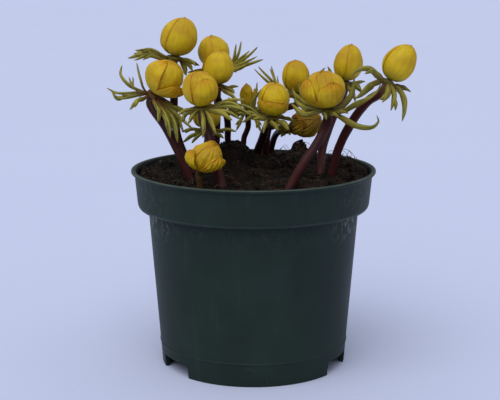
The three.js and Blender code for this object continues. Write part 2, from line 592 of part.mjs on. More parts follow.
function fixedObstacles() {
  return FLOWERS.flatMap((flower) => {
    const { name, thick, radius, height } = flower;
    const { axis, base } = heads(flower);
    const reach = radius * (1 + 0.5 * Math.max(0.1, ...flower.flaps.map(([, open]) => open)));
    const middle = [0.3, 0.5, 0.7].map((share) => {
      const along = clamp(share * height, reach * 0.96, Math.max(reach * 0.96, height - reach));
      return base.clone().addScaledVector(axis, along);
    });
    return [
      { name, kind: 'stem', balls: stemCurve(flower).getSpacedPoints(STEM_BALLS), reach: thick },
      { name, kind: 'bloom', balls: middle, reach },
    ];
  });
}

// The ways a lobe is bent in turn until it is clear: change of direction, of lift, and share of its length
const BENDS = [
  [0, 0, 1], [0, -12, 1], [0, 12, 1], [14, 0, 1], [-14, 0, 1], [14, -14, 1], [-14, -14, 1], [14, 14, 1],
  [-14, 14, 1], [0, -26, 0.9], [0, 26, 0.9], [28, 0, 0.9], [-28, 0, 0.9], [0, 0, 0.7], [20, 20, 0.7],
  [-20, 20, 0.7], [20, -20, 0.7], [-20, -20, 0.7], [0, 0, 0.5], [0, 35, 0.5], [0, -35, 0.5],
];

function settledLobes() {
  const obstacles = fixedObstacles();
  const settled = new Map();
  FLOWERS.forEach((flower, number) => {
    const head = heads(flower);
    const { axis, collar } = head;
    const lobes = [];
    const settle = (grow) => {
      const lobe = BENDS.map(grow).find((one) => clears(one, obstacles, flower.name));
      if (lobe) lobes.push(lobe);
    };
    flower.straps.forEach((strap) => settle((bend) => strapLine(head, strap, bend)));
    flower.bracts.forEach((bract, turn) => {
      const [direction, lift, curl, roll, spread, length, count, fork] = bract;
      for (let i = 0; i < count; i += 1) {
        const seed = 100 * number + 10 * turn + i + 1;
        const place = count > 1 ? (2 * i) / (count - 1) - 1 : 0;
        const fan = (place * spread) / 2 + LOBE_JITTER * (draw(seed) - 0.5);
        const leave = degToRad(direction + fan * Math.cos(degToRad(roll)) * (1 - fork));
        const out = new THREE.Vector3(Math.cos(leave), Math.sin(leave), 0).projectOnPlane(axis).normalize();
        const root = collar.clone().addScaledVector(out, LOBE_ROOT);
        const curlShare = 0.55 + 0.9 * draw(seed + 0.3);
        const reach = length * (1 - 0.24 * Math.abs(place)) * (0.92 + 0.16 * draw(seed + 0.6));
        settle(([swing, raise, share]) => {
          const bent = [direction + swing, lift + raise, curl, roll, fork];
          return lobeLine(root, bent, fan, curlShare, reach * share);
        });
      }
    });
    for (const { line } of lobes) {
      const balls = line.slice(1).map(({ point }) => point);
      obstacles.push({ name: flower.name, kind: 'lobe', balls, reach: LOBE_REACH });
    }
    settled.set(flower.name, lobes);
  });
  return settled;
}

// A lobe is a narrow pointed blade with a flat top and a keel below
function lobeSolid({ line, width, stations }) {
  const points = [];
  const faces = [[0, 1, 2]];
  const tip = line[LOBE_STEPS].point;
  stations.forEach((station, ring) => {
    const { point, wide, heading } = line[station];
    const share = station / LOBE_STEPS;
    const half = (width / 2) * Math.sin(Math.PI * (0.12 + 0.88 * share)) ** 0.6;
    const keel = heading.clone().cross(wide).normalize();
    points.push(point.clone().addScaledVector(wide, half));
    points.push(point.clone().addScaledVector(wide, -half));
    points.push(point.clone().addScaledVector(keel, -LOBE_THICKNESS));
    const next = 3 * (ring + 1);
    for (let i = 0; i < 3; i += 1) {
      const [a, b] = [3 * ring + i, 3 * ring + ((i + 1) % 3)];
      if (ring === stations.length - 1) faces.push([a, next, b]);
      else faces.push([a, a + 3, b + 3], [a, b + 3, b]);
    }
  });
  points.push(tip.clone());
  return solidOf(closedGeometry(points, faces));
}

function collarSolid(flower) {
  const { axis, collar } = heads(flower);
  const ring = new THREE.CylinderGeometry(COLLAR_RADIUS, COLLAR_FOOT, COLLAR_HEIGHT, COLLAR_SIDES);
  const turn = new THREE.Quaternion().setFromUnitVectors(new THREE.Vector3(0, 1, 0), axis);
  ring.applyQuaternion(turn).translate(collar.x, collar.y, collar.z);
  return solidOf(ring);
}

function ruffSolid(flower, lobes) {
  return join([collarSolid(flower), ...lobes.map(lobeSolid)]);
}

// The egg of a bud: how far out and how far up its skin is at a share of the way from foot to tip
function budPoint(flower, head, along, angle, layer) {
  const { radius, height, taper, nod } = flower;
  const out = radius * layer * Math.sin(Math.PI * along) * (1 - taper * (along - 0.45));
  const up = height * (0.5 - 0.5 * Math.cos(Math.PI * along));
  const drift = radius * along * along;
  return head.base.clone()
    .addScaledVector(head.side, out * Math.sin(angle) + drift * nod[0])
    .addScaledVector(head.front, out * Math.cos(angle) + drift * nod[1])
    .addScaledVector(head.axis, up);
}

// Three outer sepals wrap a bud. Each lies over its right-hand neighbour, and towards the tip they narrow
// and let the inner three show between them. A row is the list of [angle, layer] round the bud.
function budRow(flower, along) {
  const half = SEPAL_HALF_ANGLE * (0.4 + 0.6 * Math.sin(Math.PI * (0.2 + 0.68 * along)));
  const sector = 360 / SEPALS;
  const over = half - SEPAL_SEAM;
  const under = half + SEPAL_SEAM;
  const uncovered = Math.max(under + SEPAL_SEAM, sector - half - SEPAL_SEAM);
  const covered = Math.max(uncovered + SEPAL_SEAM, sector - half);
  const beneath = sector - half < under ? 1 - SEPAL_EDGE * ((sector - under) / half) : INNER_SEPAL;
  const start = 1 - SEPAL_EDGE * Math.min(1, (sector - covered) / half);
  const steps = [
    [0, 1],
    [over / 2, 1 + SEPAL_EDGE / 2],
    [over, 1 + SEPAL_EDGE],
    [under, beneath],
    [uncovered, Math.min(beneath, start)],
    [covered, start],
  ];
  const row = [];
  for (let sepal = 0; sepal < SEPALS; sepal += 1) {
    for (const [angle, layer] of steps) {
      row.push([degToRad(flower.turn + sector * sepal + angle), layer]);
    }
  }
  return row;
}

function budSolid(flower, head) {
  const points = [budPoint(flower, head, 0, 0, 1)];
  const faces = [];
  for (const along of BUD_ROWS) {
    for (const [angle, layer] of budRow(flower, along)) {
      points.push(budPoint(flower, head, along, angle, layer));
    }
  }
  const columns = (points.length - 1) / BUD_ROWS.length;
  const tip = points.push(budPoint(flower, head, 1, 0, 1)) - 1;
  for (let column = 0; column < columns; column += 1) {
    const next = (column + 1) % columns;
    const last = 1 + columns * (BUD_ROWS.length - 1);
    faces.push([0, 1 + column, 1 + next], [tip, last + next, last + column]);
    for (let row = 0; row < BUD_ROWS.length - 1; row += 1) {
      const low = 1 + columns * row;
      const high = low + columns;
      faces.push([low + column, high + column, high + next], [low + column, high + next, low + next]);
    }
  }
  return solidOf(closedGeometry(points, faces));
}

// A loose sepal follows the bud at its foot and leans away from it towards its tip
function flapPoint(flower, head, flap, share, across) {
  const [direction, open, end, halfAngle] = flap;
  const along = 0.1 + (end - 0.1) * share;
  const half = degToRad(halfAngle) * (0.35 + 0.65 * Math.sin(Math.PI * (0.2 + 0.68 * share)));
  const angle = degToRad(direction) + half * across;
  const outward = head.front.clone().multiplyScalar(Math.cos(angle));
  outward.addScaledVector(head.side, Math.sin(angle));
  const lean = open * flower.radius * smoothstep(share, 0.1, 1);
  const point = budPoint(flower, head, along, angle, FLAP_SIZE);
  point.addScaledVector(outward, lean).addScaledVector(head.axis, -0.25 * lean);
  const sunk = budPoint(flower, head, along, angle, FLAP_ROOT);
  return { point, sunk, free: smoothstep(lean, FLAP_JOINED, FLAP_FREE) };
}

function flapSolid(flower, head, flap) {
  const [rows, columns] = [FLAP_ROWS, FLAP_COLUMNS];
  const points = [];
  for (const inner of [0, 1]) {
    for (let row = 0; row <= rows; row += 1) {
      for (let column = 0; column <= columns; column += 1) {
        const [share, across] = [row / rows, (2 * column) / columns - 1];
        const at = (u, v) => flapPoint(flower, head, flap, u, v).point;
        const along = at(share + SLOPE_STEP, across).sub(at(share - SLOPE_STEP, across));
        const over = at(share, across + SLOPE_STEP).sub(at(share, across - SLOPE_STEP));
        const normal = over.cross(along).normalize();
        const { point, sunk, free } = flapPoint(flower, head, flap, share, across);
        const under = sunk.lerp(point.clone().addScaledVector(normal, -FLAP_THICKNESS), free);
        points.push(inner ? under : point);
      }
    }
  }
  const sheet = (rows + 1) * (columns + 1);
  const at = (row, column, inner) => inner * sheet + row * (columns + 1) + column;
  const faces = [];
  const quad = (a, b, c, d) => faces.push([a, b, c], [a, c, d]);
  for (let row = 0; row < rows; row += 1) {
    for (let column = 0; column < columns; column += 1) {
      quad(at(row, column, 0), at(row, column + 1, 0), at(row + 1, column + 1, 0), at(row + 1, column, 0));
      quad(at(row, column, 1), at(row + 1, column, 1), at(row + 1, column + 1, 1), at(row, column + 1, 1));
    }
    quad(at(row, 0, 1), at(row, 0, 0), at(row + 1, 0, 0), at(row + 1, 0, 1));
    quad(at(row, columns, 0), at(row, columns, 1), at(row + 1, columns, 1), at(row + 1, columns, 0));
  }
  for (let column = 0; column < columns; column += 1) {
    quad(at(0, column, 0), at(0, column, 1), at(0, column + 1, 1), at(0, column + 1, 0));
    quad(at(rows, column, 1), at(rows, column, 0), at(rows, column + 1, 0), at(rows, column + 1, 1));
  }
  return solidOf(closedGeometry(points, faces));
}

function bloomSolid(flower) {
  const head = heads(flower);
  return join([budSolid(flower, head), ...flower.flaps.map((flap) => flapSolid(flower, head, flap))]);
}

// Materials and scene
const PLASTIC = new THREE.MeshStandardMaterial({ color: 0x24302f, roughness: 0.42, metalness: 0 });
const COMPOST = new THREE.MeshStandardMaterial({ color: 0x1d1512, roughness: 0.95, metalness: 0 });
const MAROON = new THREE.MeshStandardMaterial({ color: 0x4a1f26, roughness: 0.5, metalness: 0 });
const GREEN = new THREE.MeshStandardMaterial({ color: 0x66752a, roughness: 0.6, metalness: 0 });
const YELLOW = new THREE.MeshStandardMaterial({ color: 0xc8a414, roughness: 0.5, metalness: 0 });

const plant = new THREE.Group();

function addPiece(name, solid, material) {
  const piece = new THREE.Mesh(geometryOf(solid), material);
  piece.name = name;
  plant.add(piece);
}

addPiece('pot', potSolid(), PLASTIC);
addPiece('soil', soilSolid(), COMPOST);
const lobesByFlower = settledLobes();
for (const flower of FLOWERS) {
  addPiece(`stem_${flower.name}`, stemSolid(flower), MAROON);
  addPiece(`bloom_${flower.name}`, bloomSolid(flower), YELLOW);
  if (flower.bracts.length === 0) continue;
  addPiece(`ruff_${flower.name}`, ruffSolid(flower, lobesByFlower.get(flower.name)), GREEN);
}

export default plant;
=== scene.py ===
"""Winter aconites in bud in a plastic nursery pot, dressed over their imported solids.

Sizes are in millimetres in the tables and rules below, and in metres in every mesh and finish.
"""
import sys

import logging
import math
from dataclasses import dataclass, field
from enum import Enum
from functools import partial, reduce
from typing import Callable

import bmesh
import bpy
import numpy as np
from bpy.types import ID, Material, Mesh, Node, NodeSocket, NodeTree, Object
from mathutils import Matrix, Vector, noise

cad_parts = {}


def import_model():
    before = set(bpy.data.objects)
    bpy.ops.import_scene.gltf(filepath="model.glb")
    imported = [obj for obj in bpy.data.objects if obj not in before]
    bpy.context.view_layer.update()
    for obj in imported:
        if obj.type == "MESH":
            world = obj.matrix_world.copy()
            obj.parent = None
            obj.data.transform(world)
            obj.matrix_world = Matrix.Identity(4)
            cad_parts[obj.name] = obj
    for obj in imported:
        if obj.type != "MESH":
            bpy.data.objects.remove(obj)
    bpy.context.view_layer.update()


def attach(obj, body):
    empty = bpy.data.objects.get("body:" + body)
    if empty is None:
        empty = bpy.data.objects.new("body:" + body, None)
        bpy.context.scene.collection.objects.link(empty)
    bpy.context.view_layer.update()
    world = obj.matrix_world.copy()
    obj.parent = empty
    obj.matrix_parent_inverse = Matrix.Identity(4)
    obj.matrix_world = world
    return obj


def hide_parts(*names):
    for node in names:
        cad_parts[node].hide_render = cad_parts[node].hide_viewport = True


LOG = logging.getLogger("aconite")
MM = 0.001
POINT_MERGE = 1e-6
FINE_MERGE = 1e-7
CREASE = math.radians(52.0)
SHORTEST = 1e-12
TURN = 2 * math.pi
LUMP_FALL = 0.9
LUMP_STEP = 2.1
DRAW_STEP = 12.9898
DRAW_SCALE = 43758.5453

Triple = tuple[float, float, float]
Colour = Triple
Array = np.ndarray
Bend = Triple


class Slot(Enum):
    """The material slots of the part's record."""

    PLASTIC = "plastic"
    COMPOST = "compost"
    STEM = "stem"
    BRACT = "bract"
    SEPAL = "sepal"


class Obstacle(Enum):
    """What a bract's lobe has to keep clear of."""

    STEM = "stem"
    BLOOM = "bloom"
    LOBE = "lobe"


def draw(seed: float) -> float:
    """Draw a number from 0 to 1 that looks random and is the same each time for the same seed."""
    wave = math.sin(seed * DRAW_STEP) * DRAW_SCALE
    return wave - math.floor(wave)


def ramp(value: Array | float, low: float, high: float) -> Array | float:
    """Rise evenly from 0 to 1 between two limits, for one number or an array."""
    return np.clip((value - low) / (high - low), 0.0, 1.0)


def smooth(value: Array | float, low: float, high: float) -> Array | float:
    """Ease from 0 to 1 between two limits, for one number or an array."""
    share = ramp(value, low, high)
    return share * share * (3 - 2 * share)


def unit(vector: Array) -> Array:
    """Scale vectors along the last axis to a length of one."""
    return vector / np.maximum(np.linalg.norm(vector, axis=-1, keepdims=True), SHORTEST)


def full_turn(sides: int) -> Array:
    """Give even angles once round, in radians."""
    return np.linspace(0.0, TURN, sides, endpoint=False)


def level_way(angle: float) -> Array:
    """Give the level direction at an angle in radians."""
    return np.array([math.cos(angle), math.sin(angle), 0.0])


def lumps(points: Array, scale: float, octaves: int, seed: float) -> Array:
    """Sample smooth noise at points.

    Args:
        points: An array of points in millimetres, with the axes last.
        scale: How many millimetres one lump is wide.
        octaves: How many finer layers are added.
        seed: Shifts the pattern.

    Returns:
        An array of numbers from about -1 to 1.
    """
    flat = points.reshape(-1, 3) / scale + seed
    values = [noise.fractal(Vector(point), LUMP_FALL, LUMP_STEP, octaves) for point in flat]
    return np.array(values).reshape(points.shape[:-1])


# Finishes


class Nodes:
    """A tree of nodes under construction: what materials, shapes and the world share."""

    def __init__(self, tree: NodeTree) -> None:
        """Keep the tree that the nodes go into."""
        self.tree = tree

    def feed(self, socket: NodeSocket, value: object) -> None:
        """Link a socket to one or more others, or set it to a constant.

        Args:
            socket: The input socket.
            value: A socket, a list of sockets, a number, a colour or a vector.
        """
        if isinstance(value, NodeSocket):
            self.tree.links.new(value, socket)
        elif isinstance(value, list):
            for one in value:
                self.tree.links.new(one, socket)
        elif socket.type == "RGBA" and len(value) == 3:
            socket.default_value = (*value, 1.0)
        else:
            socket.default_value = value

    def add(self, kind: str, settings: dict | None = None, **inputs: object) -> Node:
        """Add a node.

        Args:
            kind: The node's type name.
            settings: Properties to set on it.
            inputs: Sockets or constants by input name, with underscores for spaces.

        Returns:
            The node.
        """
        node = self.tree.nodes.new(kind)
        for name, value in (settings or {}).items():
            setattr(node, name, value)
        for name, value in inputs.items():
            label = name.replace("_", " ")
            self.feed(next(s for s in node.inputs if s.name == label and s.enabled), value)
        return node

    def result(self, kind: str, settings: dict | None = None, **inputs: object) -> NodeSocket:
        """Add a node, and give the first output that its settings leave on."""
        node = self.add(kind, settings, **inputs)
        return next(socket for socket in node.outputs if socket.enabled)

    def maths(self, operation: str, *values: object) -> NodeSocket:
        """Do a sum with numbers or sockets.

        Args:
            operation: The Math node's operation, such as ADD.
            values: Its inputs in order.

        Returns:
            The result's socket.
        """
        node = self.add("ShaderNodeMath", {"operation": operation})
        for socket, value in zip(node.inputs, values):
            self.feed(socket, value)
        return node.outputs[0]

    def times(self, *factors: object) -> NodeSocket:
        """Multiply numbers or sockets."""
        return reduce(partial(self.maths, "MULTIPLY"), factors)

    def vector(self, x: object, y: object, z: object) -> NodeSocket:
        """Combine three numbers or sockets into a vector."""
        return self.result("ShaderNodeCombineXYZ", X=x, Y=y, Z=z)


class Shader(Nodes):
    """Builds the nodes of one material, with its colours laid one over another."""

    def __init__(self, name: str, colour: Colour) -> None:
        """Start a material with a Principled surface.

        Args:
            name: The material's name.
            colour: The colour under all the others.
        """
        self.material = bpy.data.materials.new(name)
        self.material.use_nodes = True
        super().__init__(self.material.node_tree)
        self.tree.nodes.clear()
        self.colour: object = colour
        self.surface = self.add("ShaderNodeBsdfPrincipled")
        self.add("ShaderNodeOutputMaterial", Surface=self.surface.outputs["BSDF"])
        self.place = self.add("ShaderNodeTexCoord").outputs["Object"]

    def attribute(self, name: str) -> NodeSocket:
        """Read a number that the mesh carries at each point."""
        return self.add("ShaderNodeAttribute", {"attribute_name": name}).outputs["Fac"]

    def stretched(self, *scale: float) -> NodeSocket:
        """Stretch the object's own coordinates along X, Y and Z."""
        return self.result("ShaderNodeMapping", Vector=self.place, Scale=scale)

    def coordinate(self, axis: str) -> NodeSocket:
        """Give the object's own X, Y or Z in metres."""
        return self.add("ShaderNodeSeparateXYZ", Vector=self.place).outputs[axis]

    def painted_place(self, side: str, across: float, along: float) -> NodeSocket:
        """Give coordinates that follow a piece, from the numbers painted across and along it."""
        level, upright = self.attribute(side), self.attribute("along")
        return self.vector(self.times(level, across), self.times(upright, along), self.attribute("tone"))

    def noise(
        self, scale: float, detail: float, rough: float, where: object = None, warp: float = 0.0
    ) -> NodeSocket:
        """Add a noise texture.

        Args:
            scale: Lumps per metre, or per unit of the given coordinates.
            detail: How many finer layers it has.
            rough: How strong the finer layers are.
            where: The coordinates, or None for the object's own.
            warp: How far the pattern is distorted.

        Returns:
            The noise's socket, from 0 to 1.
        """
        return self.result(
            "ShaderNodeTexNoise", Vector=where or self.place, Scale=scale, Detail=detail, Roughness=rough,
            Distortion=warp,
        )

    def span(
        self, value: object, low: float, high: float, start: float = 0.0, end: float = 1.0
    ) -> NodeSocket:
        """Map a range of numbers onto another, clamped and eased.

        Args:
            value: The number's socket.
            low: Where the first range starts.
            high: Where the first range ends.
            start: The result at low.
            end: The result at high.

        Returns:
            The result's socket.
        """
        eased = {"interpolation_type": "SMOOTHSTEP"}
        return self.result(
            "ShaderNodeMapRange", eased, Value=value, From_Min=low, From_Max=high, To_Min=start, To_Max=end
        )

    def lay(self, share: object, colour: Colour) -> None:
        """Lay a colour over the ones before it, by the share of it that shows."""
        mixed = {"data_type": "RGBA"}
        self.colour = self.result("ShaderNodeMix", mixed, Factor=share, A=self.colour, B=colour)

    def bump(self, height: object, distance: float, strength: float) -> None:
        """Give the surface a relief, so many metres deep, from a number of 0 to 1."""
        relief = self.result("ShaderNodeBump", Height=height, Distance=distance, Strength=strength)
        self.feed(self.surface.inputs["Normal"], relief)

    def dress(self, **values: object) -> Material:
        """Set the surface's colour and its other inputs.

        Args:
            values: A number, vector or socket by input name, with underscores for spaces.

        Returns:
            The material.
        """
        for name, value in {"Base_Color": self.colour, **values}.items():
            self.feed(self.surface.inputs[name.replace("_", " ")], value)
        return self.material


@dataclass(frozen=True)
class PlasticFinish:
    """Dark green moulded plastic, satin, with dust, drips and rubbed patches, painted edge highlights and
    painted shade inside.

    Ledge and top are heights and rim is a radius on the pot. The inside is taken as a cone, with its radius
    at the ground, which widens upwards by the slope.
    """

    colour: Colour = (0.0145, 0.0255, 0.0212)
    cloud: Colour = (0.01885, 0.03315, 0.02756)
    worn: Colour = (0.085, 0.105, 0.11)
    # Painted highlight on the lip's top outer edge and the band's lower edge
    edge: Colour = (0.078, 0.104, 0.086)
    dust: Colour = (0.21, 0.25, 0.235)
    # Painted shade on the inner wall above the compost
    inside_shade: Colour = (0.0035, 0.0042, 0.0038)
    roughness: float = 0.46
    ledge: float = 0.073
    top: float = 0.089
    rim: float = 0.0544
    inside: float = 0.045
    slope: float = 0.09

    def material(self) -> Material:
        """Build the material.

        Returns:
            The material for the pot.
        """
        shader = Shader("nursery_pot_plastic", self.colour)
        x, y, height = (shader.coordinate(axis) for axis in "XYZ")
        radius = shader.maths("SQRT", shader.maths("ADD", shader.times(x, x), shader.times(y, y)))
        cloudy = shader.noise(34.0, 4.0, 0.6, warp=0.4)
        drips = shader.noise(1.0, 4.0, 0.6, where=shader.stretched(190.0, 190.0, 14.0))
        speck = shader.noise(1500.0, 2.0, 0.6)
        rubbed = shader.noise(75.0, 6.0, 0.72, where=shader.stretched(1.0, 1.0, 1.7), warp=0.8)
        flecks = shader.noise(520.0, 3.0, 0.65, where=shader.stretched(1.0, 1.0, 0.55))
        shader.lay(shader.span(cloudy, 0.35, 0.7), self.cloud)
        shader.lay(shader.span(drips, 0.56, 0.72, 0.0, 0.07), self.worn)
        sides = shader.span(shader.maths("ABSOLUTE", x), 0.032, 0.046, 0.04, 1.0)
        scuff = shader.times(
            shader.span(flecks, 0.5, 0.6), shader.span(height, self.ledge - 0.015, self.ledge - 0.003),
            shader.span(height, self.ledge - 0.0008, self.ledge - 0.0002, 1.0, 0.12), sides,
            shader.span(speck, 0.3, 0.55, 0.3, 0.8),
        )
        shader.lay(scuff, self.dust)
        marks = shader.times(shader.span(rubbed, 0.6, 0.74), shader.span(height, 0.0, 0.04, 0.35, 0.07))
        shader.lay(marks, self.worn)
        lip = shader.span(height, self.top - 0.0018, self.top - 0.0004, 0.0, 0.03)
        shader.lay(shader.times(lip, shader.span(speck, 0.2, 0.7)), self.worn)
        # Painted highlight along the lip's top edge and the band's lower edge, broken up by the rubbed noise
        rim = shader.times(
            shader.span(height, self.top - 0.0005, self.top - 0.0002),
            shader.span(radius, self.rim - 0.0002, self.rim + 0.0002, 0.0, 0.75),
        )
        ledge = shader.times(
            shader.span(height, self.ledge - 0.0005, self.ledge - 0.0002),
            shader.span(height, self.ledge + 0.0001, self.ledge + 0.0004, 0.85, 0.0),
            shader.span(sides, 0.04, 1.0, 0.35, 1.0),
        )
        edges = shader.times(shader.maths("MAXIMUM", rim, ledge), shader.span(rubbed, 0.35, 0.6, 0.5, 1.0))
        shader.lay(edges, self.edge)
        # Painted shade on the inner wall above the compost
        slant = shader.maths("MULTIPLY_ADD", height, -self.slope, radius)
        inside = shader.times(
            shader.span(slant, self.inside - 0.0004, self.inside + 0.0004, 0.9, 0.0),
            shader.span(height, self.ledge, self.ledge + 0.002),
        )
        shader.lay(inside, self.inside_shade)
        shader.bump(shader.maths("MULTIPLY_ADD", drips, 0.8, shader.noise(2600.0, 2.0, 0.5)), 0.00003, 0.5)
        rough = shader.span(cloudy, 0.3, 0.75, self.roughness, self.roughness + 0.1)
        rough = shader.maths("MULTIPLY_ADD", marks, 0.3, rough)
        return shader.dress(Roughness=rough, Specular_IOR_Level=0.1)


@dataclass(frozen=True)
class CompostFinish:
    """Moist peat: nearly black, with red-brown crumbs and a little sheen where it is wet."""

    name: str = "moist_compost"
    dark: Colour = (0.0045, 0.003, 0.0024)
    brown: Colour = (0.025, 0.014, 0.009)
    light: Colour = (0.08, 0.048, 0.028)

    def material(self) -> Material:
        """Build the material.

        Returns:
            The material for the bed or its crumbs.
        """
        shader = Shader(self.name, self.dark)
        grit = shader.noise(620.0, 5.0, 0.75)
        shader.lay(shader.span(shader.noise(95.0, 5.0, 0.65), 0.4, 0.68), self.brown)
        shader.lay(shader.span(grit, 0.56, 0.74, 0.0, 0.55), self.light)
        shader.lay(shader.span(grit, 0.3, 0.5, 0.85, 0.0), self.dark)
        shader.bump(shader.maths("ADD", grit, shader.noise(1900.0, 4.0, 0.7)), 0.0009, 0.9)
        return shader.dress(Roughness=shader.span(grit, 0.3, 0.7, 0.97, 0.75), Specular_IOR_Level=0.15)


@dataclass(frozen=True)
class FibreFinish:
    """Dry peat fibres and fine roots."""

    dark: Colour = (0.028, 0.014, 0.008)
    light: Colour = (0.115, 0.066, 0.036)

    def material(self) -> Material:
        """Build the material.

        Returns:
            The material for the fibres and roots.
        """
        shader = Shader("peat_fibre", self.dark)
        shader.lay(shader.span(shader.noise(160.0, 3.0, 0.6), 0.38, 0.64), self.light)
        shader.bump(shader.noise(2500.0, 2.0, 0.5), 0.00005, 0.6)
        return shader.dress(Roughness=0.8)


@dataclass(frozen=True)
class StemFinish:
    """Fleshy maroon stem, darker towards its head, redder at its foot, with painted light at the right,
    finely lined.
    """

    dark: Colour = (0.0085, 0.0037, 0.0037)
    maroon: Colour = (0.064, 0.0155, 0.0155)
    green: Colour = (0.1, 0.07, 0.022)

    def material(self) -> Material:
        """Build the material.

        Returns:
            The material for every stem.
        """
        shader = Shader("maroon_stem", self.dark)
        lines = shader.noise(1.0, 3.0, 0.6, where=shader.painted_place("around", 16.0, 2.5))
        blotch = shader.noise(170.0, 4.0, 0.62)
        foot = shader.span(shader.coordinate("Z"), 0.086, 0.112, 0.9, 0.25)
        # Painted light: redder maroon laid on the stems at the right
        painted_light_right = shader.span(shader.coordinate("X"), 0.031, 0.037, 0.0, 0.95)
        shader.lay(shader.maths("MAXIMUM", foot, painted_light_right), self.maroon)
        shader.lay(shader.span(lines, 0.4, 0.66, 0.0, 0.6), self.maroon)
        shader.lay(shader.span(blotch, 0.52, 0.72, 0.0, 0.35), self.dark)
        near_head = shader.span(shader.attribute("along"), 0.9, 1.0)
        neck = shader.times(near_head, shader.span(blotch, 0.35, 0.6, 0.2, 0.7))
        shader.lay(shader.maths("MAXIMUM", neck, shader.attribute("pale")), self.green)
        shader.bump(lines, 0.00018, 0.6)
        return shader.dress(
            Roughness=0.44, Specular_IOR_Level=0.13, Subsurface_Weight=0.08,
            Subsurface_Radius=(0.002, 0.0006, 0.0005), Subsurface_Scale=0.6,
        )


@dataclass(frozen=True)
class BractFinish:
    """Cut green bract: paler midrib, bronze edges and a reddish base, with painted shade deepening its green
    at the right.
    """

    green: Colour = (0.29, 0.26, 0.031)
    deep: Colour = (0.085, 0.088, 0.015)
    pale: Colour = (0.66, 0.58, 0.12)
    bronze: Colour = (0.13, 0.05, 0.018)

    def material(self) -> Material:
        """Build the material.

        Returns:
            The material for every ruff.
        """
        shader = Shader("cut_bract", self.deep)
        along = shader.attribute("along")
        across = shader.maths("ABSOLUTE", shader.attribute("across"))
        patch = shader.noise(110.0, 4.0, 0.6)
        veins = shader.noise(1.6, 3.0, 0.6, where=shader.painted_place("across", 3.2, 3.0))
        shader.lay(shader.span(patch, 0.36, 0.66), self.green)
        shader.lay(shader.span(veins, 0.45, 0.7, 0.0, 0.55), self.pale)
        shader.lay(shader.span(across, 0.0, 0.28, 0.5, 0.0), self.pale)
        # Painted shade: deeper green laid on the ruffs at the right
        shader.lay(shader.span(shader.coordinate("X"), 0.02, 0.04, 0.0, 0.4), self.deep)
        edge = shader.times(shader.span(across, 0.6, 1.0), shader.span(patch, 0.4, 0.62, 0.15, 0.85))
        base = shader.times(shader.span(along, 0.05, 0.6, 1.0, 0.0), shader.attribute("blush"))
        for share in (edge, base, shader.span(along, 0.86, 1.0, 0.0, 0.7)):
            shader.lay(share, self.bronze)
        shader.bump(veins, 0.00015, 0.7)
        return shader.dress(
            Roughness=0.5, Specular_IOR_Level=0.14, Subsurface_Weight=0.12,
            Subsurface_Radius=(0.0012, 0.0015, 0.0003), Subsurface_Scale=0.6,
        )


@dataclass(frozen=True)
class SepalFinish:
    """Waxy yellow sepal: fine veins, orange edges, and an olive foot that is partly painted shade."""

    yellow: Colour = (0.66, 0.455, 0.01)
    deep: Colour = (0.5, 0.3, 0.008)
    orange: Colour = (0.58, 0.235, 0.01)
    # Olive of the foot: partly the sepal's own tone and partly painted shade
    olive: Colour = (0.2, 0.185, 0.014)
    brown: Colour = (0.125, 0.047, 0.01)

    def material(self) -> Material:
        """Build the material.

        Returns:
            The material for every bloom.
        """
        shader = Shader("waxy_sepal", self.yellow)
        along = shader.attribute("along")
        across = shader.maths("ABSOLUTE", shader.attribute("across"))
        veins = shader.noise(1.5, 4.0, 0.62, where=shader.painted_place("across", 9.0, 1.6))
        fine = shader.noise(1.5, 2.0, 0.5, where=shader.painted_place("across", 30.0, 2.2))
        patch = shader.noise(125.0, 3.0, 0.5)
        shader.lay(shader.span(patch, 0.36, 0.68), self.deep)
        shader.lay(shader.span(veins, 0.46, 0.68, 0.0, 0.55), self.deep)
        shader.lay(shader.span(fine, 0.5, 0.7, 0.0, 0.25), self.orange)
        edge = shader.times(
            shader.span(across, 0.78, 1.0), shader.span(patch, 0.34, 0.62, 0.2, 0.72),
            shader.span(along, 0.25, 0.85, 0.3, 1.0),
        )
        tip = shader.times(shader.span(along, 0.74, 1.0), shader.span(veins, 0.3, 0.6, 0.25, 0.8))
        shader.lay(shader.maths("MAXIMUM", edge, tip), self.orange)
        # Olive at the foot: partly the sepal's own tone and partly painted shade low on the bud
        foot = shader.span(along, 0.0, 0.42, 0.95, 0.0)
        shader.lay(shader.times(foot, shader.span(veins, 0.3, 0.7, 0.75, 1.0)), self.olive)
        # Brown by the blush number: the flower's own stain, and painted shade on the inner sepals
        stain = shader.times(shader.attribute("blush"), shader.span(veins, 0.42, 0.6, 0.25, 1.0))
        shader.lay(stain, self.brown)
        shader.bump(shader.maths("MULTIPLY_ADD", fine, 0.35, veins), 0.0003, 0.75)
        return shader.dress(
            Roughness=0.5, Specular_IOR_Level=0.2, Subsurface_Weight=0.22,
            Subsurface_Radius=(0.004, 0.0022, 0.0004), Subsurface_Scale=0.6,
        )


@dataclass(frozen=True)
class FloorFinish:
    """Pale lavender paper under and behind the pot."""

    colour: Colour = (0.555, 0.606, 0.808)
    shade: Colour = (0.45, 0.49, 0.68)

    def material(self) -> Material:
        """Build the material.

        Returns:
            The material for the floor.
        """
        shader = Shader("pale_floor", self.colour)
        shader.lay(shader.span(shader.noise(3.0, 2.0, 0.5), 0.3, 0.7, 0.0, 0.06), self.shade)
        return shader.dress(Roughness=0.85, Specular_IOR_Level=0.05)


# Meshes


def level_ring(sides: int, width: float, depth: float, z: float) -> Array:
    """Place points on a level ellipse round the origin."""
    angle = full_turn(sides)
    return np.stack([width * np.cos(angle), depth * np.sin(angle), np.full(sides, z)], axis=-1)


